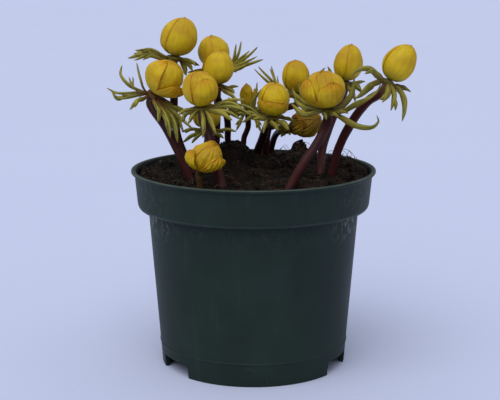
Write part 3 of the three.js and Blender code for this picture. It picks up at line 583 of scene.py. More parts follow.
def round_quads(rows: int, sides: int, first: int = 0) -> list[list[int]]:
    """Join rings of points, each to the next.

    Args:
        rows: How many rings.
        sides: How many points each has.
        first: The index of the first point.

    Returns:
        Each face's four indices.
    """
    near = first + np.arange(rows * sides).reshape(rows, sides)
    far = np.roll(near, -1, axis=1)
    return np.stack([near[:-1], far[:-1], far[1:], near[1:]], axis=-1).reshape(-1, 4).tolist()


def chain(count: int, first: int = 0) -> list[tuple[int, int]]:
    """Give the edges that join so many points in a row."""
    return [(i, i + 1) for i in range(first, first + count - 1)]


def store(mesh: Mesh, label: str, numbers: Array) -> None:
    """Paint a number on each of a mesh's points."""
    layer = mesh.attributes.new(label, "FLOAT", "POINT")
    layer.data.foreach_set("value", np.array(numbers, dtype=np.float32))


@dataclass
class Skin:
    """The points, faces and painted numbers of one piece while it is being made, in millimetres."""

    points: list[Array] = field(default_factory=list)
    faces: list[list[int]] = field(default_factory=list)
    paint: dict[str, list[Array]] = field(default_factory=dict)
    count: int = 0

    def add(self, points: Array, **paint: Array | float) -> int:
        """Add points with their painted numbers.

        Args:
            points: The points, with the axes last.
            paint: Numbers by name, one for all points or one for each.

        Returns:
            The index of the first point.
        """
        flat = points.reshape(-1, 3)
        first = self.count
        self.points.append(flat)
        for name, value in paint.items():
            numbers = np.broadcast_to(np.asarray(value, dtype=float), points.shape[:-1]).reshape(-1)
            self.paint.setdefault(name, []).append(numbers)
        self.count += len(flat)
        return first

    def sheet(self, outer: Array, inner: Array, **paint: Array | float) -> None:
        """Add a closed sheet between two grids of points.

        Args:
            outer: The outer face's grid, rows by columns.
            inner: The inner face's grid.
            paint: Numbers by name for each point of the grid.
        """
        top = self.add(outer, **paint)
        low = self.add(inner, **paint)
        index = np.arange(outer.shape[0] * outer.shape[1]).reshape(outer.shape[:2])
        quads = np.stack([index[:-1, :-1], index[:-1, 1:], index[1:, 1:], index[1:, :-1]], axis=-1)
        quads = quads.reshape(-1, 4)
        rim = np.concatenate([index[0], index[1:, -1], index[-1, -2::-1], index[-2:0:-1, 0]])
        after = np.roll(rim, -1)
        edge = np.stack([top + after, top + rim, low + rim, low + after], axis=-1)
        self.faces += [*(top + quads).tolist(), *(low + quads[:, ::-1]).tolist(), *edge.tolist()]

    def tube(self, rings: Array, **paint: Array | float) -> None:
        """Add a closed body through rings of points, with a flat or pointed cap at each end.

        Args:
            rings: Rings by points.
            paint: Numbers by name for each point.
        """
        count, sides = rings.shape[:2]
        first = self.add(rings, **paint)
        last = first + (count - 1) * sides
        self.faces += round_quads(count, sides, first)
        self.faces += [[*range(first, first + sides)][::-1], [*range(last, last + sides)]]

    def piece(self, name: str, material: Material) -> Object:
        """Turn the points into a smooth mesh object at the origin.

        Args:
            name: The object's name.
            material: Its finish.

        Returns:
            The object, linked to the scene.
        """
        mesh = bpy.data.meshes.new(name)
        mesh.from_pydata((np.concatenate(self.points) * MM).tolist(), [], self.faces)
        for label, parts in self.paint.items():
            store(mesh, label, np.concatenate(parts))
        return finish_mesh(mesh, name, material, POINT_MERGE)


def put_in_scene(name: str, data: ID) -> Object:
    """Make an object of a mesh, a light or a camera, and link it to the scene.

    Args:
        name: The object's name.
        data: What it shows.

    Returns:
        The object.
    """
    made = bpy.data.objects.new(name, data)
    bpy.context.scene.collection.objects.link(made)
    return made


def rough_object(name: str, points: Array, edges: list, faces: list, **paint: Array | float) -> Object:
    """Make a mesh object with no finish, as the source of a tree.

    Args:
        name: The object's name.
        points: Its points in millimetres.
        edges: Its loose edges.
        faces: Its faces.
        paint: Numbers by name, one for all points or one for each.

    Returns:
        The object.
    """
    mesh = bpy.data.meshes.new(name)
    mesh.from_pydata((points * MM).tolist(), edges, faces)
    for label, value in paint.items():
        store(mesh, label, np.broadcast_to(value, len(points)))
    return put_in_scene(name, mesh)


def finish_mesh(mesh: Mesh, name: str, material: Material, merge: float) -> Object:
    """Merge a mesh's doubles, turn its faces outwards, smooth it and put it in the scene.

    Args:
        mesh: The mesh in metres.
        name: The object's name.
        material: Its finish.
        merge: Points nearer than this many metres become one.

    Returns:
        The new object.
    """
    work = bmesh.new()
    work.from_mesh(mesh)
    bmesh.ops.remove_doubles(work, verts=work.verts, dist=merge)
    bmesh.ops.dissolve_degenerate(work, edges=work.edges, dist=merge)
    bmesh.ops.recalc_face_normals(work, faces=work.faces)
    work.to_mesh(mesh)
    work.free()
    mesh.polygons.foreach_set("use_smooth", [True] * len(mesh.polygons))
    mesh.set_sharp_from_angle(angle=CREASE)
    mesh.materials.clear()
    mesh.materials.append(material)
    return put_in_scene(name, mesh)


def settle(piece: Object, slot: Slot, *nodes: str) -> None:
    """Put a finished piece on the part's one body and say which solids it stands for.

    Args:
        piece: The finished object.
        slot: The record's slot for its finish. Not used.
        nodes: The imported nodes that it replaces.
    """
    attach(piece, "root")
    if nodes:
        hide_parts(*nodes)
    faces = len(piece.data.polygons)
    LOG.info("%s: %d faces, stands for %s", piece.name, faces, ", ".join(nodes) or "no node")


class ShapeTree(Nodes):
    """Builds one Geometry Nodes tree with named inputs, and bakes it."""

    def __init__(self, name: str) -> None:
        """Start a tree that takes a geometry and gives one back.

        Args:
            name: The tree's name.
        """
        super().__init__(bpy.data.node_groups.new(name, "GeometryNodeTree"))
        self.inlet = self.add("NodeGroupInput")
        self.outlet = self.add("NodeGroupOutput")
        self.sockets: dict[str, str] = {}
        self.source = self.new_input("Geometry", "NodeSocketGeometry")
        self.tree.interface.new_socket("Geometry", in_out="OUTPUT", socket_type="NodeSocketGeometry")

    def new_input(self, label: str, kind: str) -> NodeSocket:
        """Add a named input.

        Args:
            label: Its name.
            kind: Its socket type.

        Returns:
            The socket to link from.
        """
        item = self.tree.interface.new_socket(label, in_out="INPUT", socket_type=kind)
        self.sockets[label] = item.identifier
        return self.inlet.outputs[label]

    def number(self, label: str) -> NodeSocket:
        """Add a named decimal input."""
        return self.new_input(label, "NodeSocketFloat")

    def count(self, label: str) -> NodeSocket:
        """Add a named whole-number input."""
        return self.new_input(label, "NodeSocketInt")

    def step(self, kind: str, settings: dict | None = None, **inputs: object) -> NodeSocket:
        """Add a geometry node by the rest of its type's name, and give its first output."""
        return self.result("GeometryNode" + kind, settings, **inputs)

    def scaled(self, vector: NodeSocket, scale: object) -> NodeSocket:
        """Multiply a vector by a number."""
        return self.result("ShaderNodeVectorMath", {"operation": "SCALE"}, Vector=vector, Scale=scale)

    def random(self, low: object, high: object, seed: object) -> NodeSocket:
        """Draw a number or a vector between two limits for each element."""
        kind = "FLOAT_VECTOR" if isinstance(low, tuple) else "FLOAT"
        return self.result("FunctionNodeRandomValue", {"data_type": kind}, Min=low, Max=high, Seed=seed)

    def shaken(self, geometry: NodeSocket, scale: object, reach: object, share: float) -> NodeSocket:
        """Move a geometry's points by a smooth noise.

        Args:
            geometry: The geometry's socket.
            scale: Lumps of the noise per metre.
            reach: How far a point may move, in metres.
            share: The share of that reach that is used.

        Returns:
            The moved geometry's socket.
        """
        texture = self.add("ShaderNodeTexNoise", Scale=scale, Detail=1.5)
        less = {"operation": "SUBTRACT"}
        centred = self.add("ShaderNodeVectorMath", less, Vector=texture.outputs["Color"])
        self.feed(centred.inputs[1], (0.5, 0.5, 0.5))
        offset = self.scaled(centred.outputs[0], self.times(reach, 2.0 * share))
        return self.step("SetPosition", Geometry=geometry, Offset=offset)

    def sizes(self, seed: object, power: float, reach: float, least: float) -> NodeSocket:
        """Draw a size for each element, from a least one up. A higher power makes large ones rarer."""
        pick = self.random(0.0, 1.0, seed)
        return self.maths("MULTIPLY_ADD", self.maths("POWER", pick, power), reach, least)

    def scattered(
        self, body: NodeSocket, seed: NodeSocket, turn: NodeSocket, scale: NodeSocket
    ) -> NodeSocket:
        """Scatter a body over the source's faces.

        Args:
            body: The body's geometry.
            seed: The seed of the places.
            turn: The rotation of each.
            scale: The scale of each.

        Returns:
            The bodies' socket.
        """
        density = self.number("Density")
        spread = self.step("DistributePointsOnFaces", Mesh=self.source, Density=density, Seed=seed)
        placed = self.step("InstanceOnPoints", Points=spread, Instance=body, Rotation=turn, Scale=scale)
        return self.step("RealizeInstances", Geometry=placed)

    def painted(self, geometry: NodeSocket, name: str, value: object) -> NodeSocket:
        """Store a number at each point, under a name that the finish reads."""
        kind = {"data_type": "FLOAT", "domain": "POINT"}
        return self.step("StoreNamedAttribute", kind, Geometry=geometry, Name=name, Value=value)

    def close(self, geometry: NodeSocket) -> None:
        """End the tree in Realize Instances and Set Material.

        Args:
            geometry: The finished geometry's socket.
        """
        finish = self.new_input("Finish", "NodeSocketMaterial")
        real = self.step("RealizeInstances", Geometry=geometry)
        self.feed(self.outlet.inputs[0], self.step("SetMaterial", Geometry=real, Material=finish))

    def bake(
        self, source: Object, name: str, finish: Material, merge: float = POINT_MERGE,
        **values: float | int,
    ) -> Object:
        """Run the tree on an object, and keep the result as a plain mesh.

        Args:
            source: The object that carries the modifier. It is removed at the end.
            name: The new object's name.
            finish: The material.
            merge: Points nearer than this many metres become one.
            values: The named inputs, with underscores for spaces.

        Returns:
            The new object.
        """
        modifier = source.modifiers.new("shape", "NODES")
        modifier.node_group = self.tree
        for label, value in values.items():
            modifier[self.sockets[label.replace("_", " ")]] = value
        modifier[self.sockets["Finish"]] = finish
        source.update_tag()
        bpy.context.view_layer.update()
        graph = bpy.context.evaluated_depsgraph_get()
        mesh = bpy.data.meshes.new_from_object(source.evaluated_get(graph))
        source.modifiers.remove(modifier)
        bpy.data.objects.remove(source)
        mesh.name = name
        return finish_mesh(mesh, name, finish, merge)


# Pot

NOTCHES = ("First Notch", "Second Notch", "Third Notch")
UPWARDS = {"mode": "Z_UP"}


@dataclass
class NurseryPot:
    """The moulded pot: a wall turned round its axis, with notches and drain holes cut into its foot."""

    finish: PlasticFinish = PlasticFinish()
    height: float = 89.0
    lip_radius: float = 55.0
    lip_thickness: float = 1.1
    band_top_radius: float = 53.6
    band_foot_radius: float = 52.2
    band_foot: float = 73.4
    step: float = 71.6
    neck_radius: float = 47.5
    foot_radius: float = 41.9
    foot_width: float = 1.6
    wall: float = 1.1
    floor: float = 8.0
    floor_thickness: float = 1.2
    moulded_line: float = 10.4
    line_relief: float = 0.28
    notch_angles: Triple = (-57.0, 65.0, 184.0)
    notch_width: float = 20.0
    notch_height: float = 6.0
    notch_corner: float = 1.5
    notch_reach: float = 6.0
    drain_width: float = 12.0
    drain_length: float = 7.0
    drain_depth: float = 4.0
    drain_radius: float = 33.0
    pivot: float = 30.0
    sides: int = 216

    def body_radius(self, z: float) -> float:
        """Give the body's outer radius at a height."""
        return self.foot_radius + (self.neck_radius - self.foot_radius) * z / self.step

    def band_radius(self, z: float) -> float:
        """Give the band's outer radius at a height."""
        share = (z - self.band_foot) / (self.height - self.band_foot)
        return self.band_foot_radius + (self.band_top_radius - self.band_foot_radius) * share

    def profile(self) -> Array:
        """Trace half of the pot's section, from the axis under the floor round to the axis above it.

        Returns:
            Points of radius, height and 0 in millimetres.
        """
        floor_top = self.floor + self.floor_thickness
        lip_foot = self.height - self.lip_thickness
        shelf = self.step + self.wall
        line = self.moulded_line
        inner_foot = self.foot_radius - self.foot_width
        corners = [
            (0.0, self.floor, 0.0),
            (inner_foot, self.floor, 0.6),
            (inner_foot, 0.0, 0.35),
            (self.foot_radius, 0.0, 0.45),
            (self.body_radius(line - 0.7), line - 0.7, 0.2),
            (self.body_radius(line) + self.line_relief, line - 0.2, 0.2),
            (self.body_radius(line) + self.line_relief, line + 0.2, 0.2),
            (self.body_radius(line + 0.7), line + 0.7, 0.2),
            (self.neck_radius, self.step, 0.5),
            (self.band_foot_radius - 0.9, self.step + 0.3, 0.7),
            (self.band_foot_radius, self.band_foot, 0.9),
            (self.band_radius(lip_foot), lip_foot - 0.7, 0.6),
            (self.lip_radius, lip_foot, 0.4),
            (self.lip_radius, self.height, 0.4),
            (self.band_top_radius - 0.5, self.height, 0.5),
            (self.band_radius(lip_foot) - self.wall, lip_foot - 0.7, 0.5),
            (self.band_foot_radius - self.wall, shelf + 0.8, 0.6),
            (self.band_foot_radius - self.wall - 1.0, shelf, 0.4),
            (self.neck_radius - self.wall, shelf, 0.4),
            (self.body_radius(floor_top) - self.wall, floor_top, 0.6),
            (0.0, floor_top, 0.0),
        ]
        points = []
        for i, (radius, z, rounding) in enumerate(corners):
            here = np.array([radius, z, 0.0])
            if rounding == 0.0:
                points.append(here)
                continue
            before = np.array([*corners[i - 1][:2], 0.0]) - here
            after = np.array([*corners[i + 1][:2], 0.0]) - here
            start = here + unit(before) * min(rounding, 0.45 * np.linalg.norm(before))
            end = here + unit(after) * min(rounding, 0.45 * np.linalg.norm(after))
            for t in np.linspace(0.0, 1.0, 5):
                points.append((1 - t) ** 2 * start + 2 * t * (1 - t) * here + t * t * end)
        return np.array(points)

    def tree(self) -> ShapeTree:
        """Build the tree that turns the profile and cuts the notches and drains.

        Returns:
            The tree, with a named input for each size.
        """
        shape = ShapeTree("turned_pot")
        sides = shape.count("Sides")
        pivot = shape.number("Pivot")
        profile = shape.step("MeshToCurve", Mesh=shape.source)
        moved = shape.vector(shape.times(pivot, -1.0), 0.0, 0.0)
        upright = shape.step("Transform", Geometry=profile, Translation=moved, Scale=(1.0, -1.0, 1.0))
        circle = shape.step("CurvePrimitiveCircle", Resolution=sides, Radius=pivot)
        circle = shape.step("SetCurveNormal", UPWARDS, Curve=circle)
        swept = shape.step("CurveToMesh", Curve=circle, Profile_Curve=upright)
        wall = shape.step("MergeByDistance", Geometry=swept, Distance=2 * POINT_MERGE)
        exact = {"operation": "DIFFERENCE", "solver": "EXACT"}
        shape.close(shape.step("MeshBoolean", exact, Mesh_1=wall, Mesh_2=self.cutters(shape)))
        return shape

    def cutters(self, shape: ShapeTree) -> list[NodeSocket]:
        """Add a notch and its drain hole to the tree, once for each angle.

        Args:
            shape: The tree under construction.

        Returns:
            The cutters' sockets.
        """
        radius = shape.number("Foot Radius")
        width = shape.number("Notch Width")
        corner = shape.number("Notch Corner")
        tall = shape.times(shape.number("Notch Height"), 2.0)
        reach = self.notch_reach * MM
        ends = [shape.maths("SUBTRACT", side * reach, radius) for side in (-1, 1)]
        near, far = (shape.vector(0.0, end, 0.0) for end in ends)
        path = shape.step("CurvePrimitiveLine", Start=near, End=far)
        path = shape.step("SetCurveNormal", UPWARDS, Curve=path)
        outline = shape.step("CurvePrimitiveQuadrilateral", Width=width, Height=tall)
        rounded = shape.step("FilletCurve", {"mode": "POLY"}, Curve=outline, Count=6, Radius=corner)
        notch = shape.step("CurveToMesh", Curve=path, Profile_Curve=rounded, Fill_Caps=True)
        size = shape.vector(shape.number("Drain Width"), shape.number("Drain Length"), self.drain_depth * MM)
        back = shape.times(shape.number("Drain Radius"), -1.0)
        place = shape.vector(0.0, back, shape.number("Floor Middle"))
        drain = shape.step("Transform", Geometry=shape.step("MeshCube", Size=size), Translation=place)
        pair = shape.step("JoinGeometry", Geometry=[notch, drain])
        turns = [shape.vector(0.0, 0.0, shape.number(label)) for label in NOTCHES]
        return [shape.step("Transform", Geometry=pair, Rotation=turn) for turn in turns]

    def build(self) -> None:
        """Make the pot."""
        sizes = {
            "Pivot": self.pivot,
            "Foot Radius": self.foot_radius,
            "Notch Width": self.notch_width,
            "Notch Height": self.notch_height,
            "Notch Corner": self.notch_corner,
            "Drain Width": self.drain_width,
            "Drain Length": self.drain_length,
            "Drain Radius": self.drain_radius,
            "Floor Middle": self.floor + self.floor_thickness / 2,
        }
        values = {label: size * MM for label, size in sizes.items()}
        values |= {label: math.radians(angle) for label, angle in zip(NOTCHES, self.notch_angles)}
        profile = self.profile()
        section = rough_object("pot_section", profile, chain(len(profile)), [])
        pot = self.tree().bake(section, "pot_shell", self.finish.material(), Sides=self.sides, **values)
        settle(pot, Slot.PLASTIC, "pot")


# Compost

SOIL_HEIGHT = 86.4
SOIL_SLOPE = 0.04

# Each swell's place to the right and to the back of the axis, its height and its reach
HUMPS = (
    (-11.5, 22.0, 11.0, 9.0),
    (-2.0, 27.0, 3.5, 7.0),
    (-40.0, -8.0, -3.0, 16.0),
    (43.0, 24.0, 2.4, 10.0),
    (24.0, 43.0, 2.0, 8.0),
    (30.0, -34.0, -1.0, 12.0),
)


def soil_top(x: Array | float, y: Array | float) -> Array | float:
    """Give the height of the compost's surface: a slight slope, low lumps, a clod and swells.

    Args:
        x: Millimetres to the right of the axis.
        y: Millimetres to the back of it.

    Returns:
        The height in millimetres.
    """
    wide = 0.7 * np.sin(0.31 * x + 1.3) * np.cos(0.27 * y + 0.4)
    fine = 0.4 * np.sin(0.71 * x + 0.53 * y)
    top = SOIL_HEIGHT + SOIL_SLOPE * y + wide + fine
    for ax, ay, height, reach in HUMPS:
        top = top + height * np.exp(-((x - ax) ** 2 + (y - ay) ** 2) / reach**2)
    return top


@dataclass(frozen=True)
class Scatter:
    """Crumbs of one kind: how big the largest are, how many to a square metre and how round."""

    name: str
    size: float
    density: float
    sides: int
    on_heap: bool = False


@dataclass
class Compost:
    """The peat that fills the pot, with crumbs, clods, fibres and fine roots on it."""

    finish: CompostFinish = CompostFinish()
    crumb: CompostFinish = CompostFinish(
        "peat_crumbs", brown=(0.042, 0.022, 0.013), light=(0.11, 0.066, 0.037)
    )
    fibre: FibreFinish = FibreFinish()
    edge: float = 51.9
    inside: tuple[tuple[float, float], ...] = ((40.9, 9.5), (46.0, 73.0), (49.4, 73.0), (50.4, 74.2))
    rings: int = 96
    sides: int = 264
    lump_depth: float = 1.5
    grain_depth: float = 0.75
    scatters: tuple[Scatter, ...] = (
        Scatter("compost_crumbs", 1.15, 260000.0, 7),
        Scatter("compost_clods", 2.7, 16000.0, 9),
        Scatter("rim_heap", 1.9, 1.6e6, 9, True),
    )
    heap_place: Triple = (22.5, 46.2, 87.5)
    heap_size: Triple = (4.6, 1.8, 7.0)
    fibre_length: float = 5.0
    fibre_radius: float = 0.09
    fibre_density: float = 60000.0
    root_radius: float = 0.1
    root_count: int = 22
    root_points: int = 14
    root_limit: float = 52.6
    seed: int = 7

    def surface(self) -> Array:
        """Shape the compost's surface, finer than its solid.

        Returns:
            Points by ring from the edge inwards and by side, in millimetres.
        """
        radius = self.edge * np.linspace(1.0, 1.0 / self.rings, self.rings)
        angle = full_turn(self.sides)
        x = radius[:, None] * np.cos(angle)
        y = radius[:, None] * np.sin(angle)
        points = np.stack([x, y, soil_top(x, y)], axis=-1)
        calm = smooth(self.edge - radius, 0.0, 4.0)[:, None]
        relief = self.lump_depth * lumps(points, 6.5, 3, 3.1)
        relief += self.grain_depth * np.abs(lumps(points, 1.9, 3, 8.7))
        points[..., 2] += (0.35 + 0.65 * calm) * relief
        return points

    def bed(self, top: Array) -> Object:
        """Make the closed body of compost.

        Args:
            top: The surface's points.

        Returns:
            The bed's object.
        """
        rows = [level_ring(self.sides, radius, radius, z) for radius, z in self.inside]
        skin = Skin()
        skin.tube(np.concatenate([np.array(rows), top]))
        return skin.piece("compost_bed", self.finish.material())

    def patch(self, name: str, points: Array) -> Object:
        """Make an open patch of surface, closed round each row, as the ground of a scatter."""
        return rough_object(name, points.reshape(-1, 3), [], round_quads(*points.shape[:2]))

    def crumb_tree(self) -> ShapeTree:
        """Build the tree that scatters rough crumbs over a surface.

        Returns:
            The tree, with named inputs for size, spread and seed.
        """
        shape = ShapeTree("scattered_crumbs")
        size = shape.number("Crumb Size")
        sides = shape.count("Sides")
        seed = shape.count("Seed")
        rings = shape.maths("SUBTRACT", sides, 2)
        ball = shape.step("MeshUVSphere", Radius=1.0, Segments=sides, Rings=rings)
        turn = shape.random((0.0, 0.0, 0.0), (6.28, 6.28, 6.28), seed)
        flat = shape.random((0.55, 0.4, 0.3), (1.0, 0.8, 0.75), shape.maths("ADD", seed, 5))
        grown = shape.sizes(shape.maths("ADD", seed, 9), 3.0, 0.75, 0.25)
        scale = shape.scaled(flat, shape.times(grown, size))
        coarse = shape.shaken(shape.scattered(ball, seed, turn, scale), 900.0, size, 0.55)
        shape.close(shape.shaken(coarse, 2400.0, size, 0.22))
        return shape

    def fibre_tree(self) -> ShapeTree:
        """Build the tree that scatters curled fibres over a surface.

        Returns:
            The tree, with named inputs for length, thickness, spread and seed.
        """
        shape = ShapeTree("scattered_fibres")
        length = shape.number("Length")
        thickness = shape.number("Thickness")
        seed = shape.count("Seed")
        start = shape.vector(shape.times(length, -0.5), 0.0, 0.0)
        middle = shape.vector(0.0, shape.times(length, 0.3), shape.times(length, 0.2))
        end = shape.vector(shape.times(length, 0.5), 0.0, 0.0)
        bow = shape.step("CurveQuadraticBezier", Resolution=7, Start=start, Middle=middle, End=end)
        ring = shape.step("CurvePrimitiveCircle", Resolution=3, Radius=thickness)
        strand = shape.step("CurveToMesh", Curve=bow, Profile_Curve=ring, Fill_Caps=True)
        turn = shape.random((-0.5, -0.35, 0.0), (0.5, 0.35, 6.28), seed)
        grown = shape.sizes(shape.maths("ADD", seed, 3), 2.0, 1.1, 0.35)
        fibres = shape.scattered(strand, seed, turn, shape.vector(grown, grown, 1.0))
        shape.close(shape.shaken(fibres, 260.0, length, 0.28))
        return shape

    def rim_heap(self) -> Array:
        """Shape the ground of the small heap of crumbs at the back rim.

        Returns:
            Rows by columns of points in millimetres, closed round each row.
        """
        width, depth, height = self.heap_size
        shares = (1.0, 0.8, 0.6, 0.4, 0.2, 0.05)
        rings = [level_ring(16, width * share, depth * share, height * (1 - share**2)) for share in shares]
        return np.array(self.heap_place) + np.array(rings)

    def rim_roots(self) -> Object:
        """Lay the chains of fine roots that stand up from the compost at the right of the back rim.

        Returns:
            One object with a chain of edges for each root.
        """
        points, edges = [], []
        for number in range(self.root_count):
            angle = math.radians(8 + 62 * draw(number + 0.5))
            reach = 43.0 + 6.5 * draw(number + 70.5)
            foot = reach * level_way(angle)
            foot[2] = soil_top(foot[0], foot[1]) + 0.4
            heading = TURN * draw(number + 140.5)
            run = 3.0 + 7.0 * draw(number + 210.5)
            rise = 1.2 + 3.4 * draw(number + 280.5)
            edges += chain(self.root_points, len(points))
            for t in np.linspace(0.0, 1.0, self.root_points):
                swing = heading + 2.2 * (t - 0.5) * (draw(number + 350.5) - 0.3)
                here = foot + run * t * level_way(swing)
                here[2] += rise * math.sin(math.pi * t)
                here[:2] *= min(1.0, self.root_limit / math.hypot(here[0], here[1]))
                points.append(here)
        return rough_object("rim_roots", np.array(points), edges, [])

    def build(self) -> None:
        """Make the bed and everything that lies on it."""
        top = self.surface()
        settle(self.bed(top), Slot.COMPOST, "soil")
        inner = top[3:]
        crumbs = self.crumb_tree()
        crumb_finish = self.crumb.material()
        for number, scatter in enumerate(self.scatters):
            ground = self.patch(f"{scatter.name}_ground", self.rim_heap() if scatter.on_heap else inner)
            piece = crumbs.bake(
                ground, scatter.name, crumb_finish, merge=FINE_MERGE, Crumb_Size=scatter.size * MM,
                Density=scatter.density, Sides=scatter.sides, Seed=self.seed + number,
            )
            settle(piece, Slot.COMPOST)
        fibre_finish = self.fibre.material()
        fibres = self.fibre_tree().bake(
            self.patch("fibre_ground", inner), "peat_fibres", fibre_finish, merge=FINE_MERGE,
            Length=self.fibre_length * MM, Thickness=self.fibre_radius * MM, Density=self.fibre_density,
            Seed=self.seed + len(self.scatters),
        )
        settle(fibres, Slot.COMPOST)
        roots = strand_tree().bake(
            self.rim_roots(), "fine_roots", fibre_finish, merge=FINE_MERGE, Thickness=self.root_radius * MM,
            Sides=5, Swelling=0.2, Shake=0.9 * MM, Shake_Scale=420.0,
        )
        settle(roots, Slot.COMPOST)


def strand_tree() -> ShapeTree:
    """Build the tree that gives a chain of edges its round body, for stems and roots.

    Returns:
        The tree, with named inputs for thickness, sides, swelling and shake.
    """
    shape = ShapeTree("grown_strand")
    thickness = shape.number("Thickness")
    sides = shape.count("Sides")
    swelling = shape.number("Swelling")
    shake = shape.number("Shake")
    shake_scale = shape.number("Shake Scale")
    texture = shape.result("ShaderNodeTexNoise", Scale=shape.times(shake_scale, 0.4), Detail=1.0)
    uneven = shape.maths("SUBTRACT", texture, 0.5)
    girth = shape.times(thickness, shape.maths("MULTIPLY_ADD", uneven, swelling, 1.0))
    curve = shape.step("MeshToCurve", Mesh=shape.source)
    ring = shape.step("CurvePrimitiveCircle", Resolution=sides, Radius=1.0)
    ring = shape.painted(ring, "around", shape.step("SplineParameter"))
    body = shape.step("CurveToMesh", Curve=curve, Profile_Curve=ring, Scale=girth, Fill_Caps=True)
    shape.close(shape.shaken(body, shake_scale, shake, 0.5))
    return shape


# Flowers

GAP = 0.3
STEM_DEPTH = 15.0
STEM_LEAN = 0.5
STEM_STRAIGHT = 2.5
STEM_NECK = 2.5
COLLAR_HEIGHT = 2.2
LIP_RADIUS = NurseryPot.lip_radius
POT_HEIGHT = NurseryPot.height
LOBE_ROOT = 2.6


@dataclass(frozen=True)
class Bract:
    """One cut bract of a ruff.

    Direction is 0 to the right and 90 to the back, lift is above the level, curl is how far it turns on its
    way and spread is how far its lobes fan out, all in degrees.
    """

    direction: float
    lift: float
    curl: float
    spread: float
    length: float
    lobes: int


@dataclass(frozen=True)
class Flap:
    """A loose sepal: its direction from the front, how far it opens, where it ends and half its angle.

    Squareness is how late it narrows towards its tip.
    """

    direction: float
    open: float
    end: float
    half_angle: float
    squareness: float = 2.2


@dataclass(frozen=True)
class Head:
    """Where a flower's parts meet, and the bloom's own directions."""

    axis: Array
    front: Array
    side: Array
    base: Array
    collar: Array
    stem_end: Array

    def root(self, way: Array) -> Array:
        """Give the place on the collar where a lobe that leaves in a direction starts."""
        return self.collar + unit(way - self.axis * np.dot(way, self.axis)) * LOBE_ROOT


@dataclass(frozen=True)
class LobeStyle:
    """How a flower's lobes are cut.

    Toothed is how often they have side teeth and breadth is their width, both as a share of the usual. A
    smaller taper narrows them sooner, and a larger point makes their tips sharper.
    """

    toothed: float
    breadth: float
    taper: float
    point: float


CUT = LobeStyle(1.0, 1.0, 2.4, 0.65)
PLAIN = LobeStyle(0.15, 1.25, 1.5, 0.85)


@dataclass(frozen=True)
class Flower:
    """One flower's sizes: its stem, its bloom and its bracts.

    A strap is a lobe that stands by itself: its width, then the points that its middle goes through, each
    measured from the collar.
    """

    name: str
    thick: float
    foot: tuple[float, float]
    path: tuple[Triple, ...]
    centre: Triple
    axis: Triple
    radius: float
    height: float
    taper: float
    turn: float
    nod: tuple[float, float] = (0.0, 0.0)
    flaps: tuple[Flap, ...] = ()
    bracts: tuple[Bract, ...] = ()
    straps: tuple[tuple, ...] = ()
    crumple: float = 0.3
    ribs: float = 1.0
    stain: float = 0.0
    blush: float = 0.35
    pale_stem: float = 0.0
    lobes: LobeStyle = CUT

    def head(self) -> Head:
        """Work out where the stem ends, the collar sits and the bloom starts.

        Returns:
            The head's places and directions.
        """
        axis = unit(np.array(self.axis, dtype=float))
        front = unit(np.array([0.0, -1.0, 0.0]) + axis * axis[1])
        side = np.cross(axis, front)
        base = np.array(self.centre) - axis * self.height / 2
        collar = base - axis * (GAP + COLLAR_HEIGHT / 2)
        room = 2 * GAP + COLLAR_HEIGHT if self.bracts else GAP
        return Head(axis, front, side, base, collar, base - axis * room)

    def stem_points(self) -> list[Array]:
        """List the points that the stem's curve goes through.

        Returns:
            The points, from under the compost to the head.
        """
        head = self.head()
        foot = np.array([*self.foot, soil_top(*self.foot)])
        rise = np.array(self.path[0]) - foot
        share = min(1.0, STEM_LEAN * rise[2] / math.hypot(rise[0], rise[1]))
        rise = unit(rise * np.array([share, share, 1.0]))
        neck = head.stem_end - head.axis * STEM_NECK
        path = [np.array(point, dtype=float) for point in self.path]
        return [foot - rise * STEM_DEPTH, foot, foot + rise * STEM_STRAIGHT, *path, neck, head.stem_end]


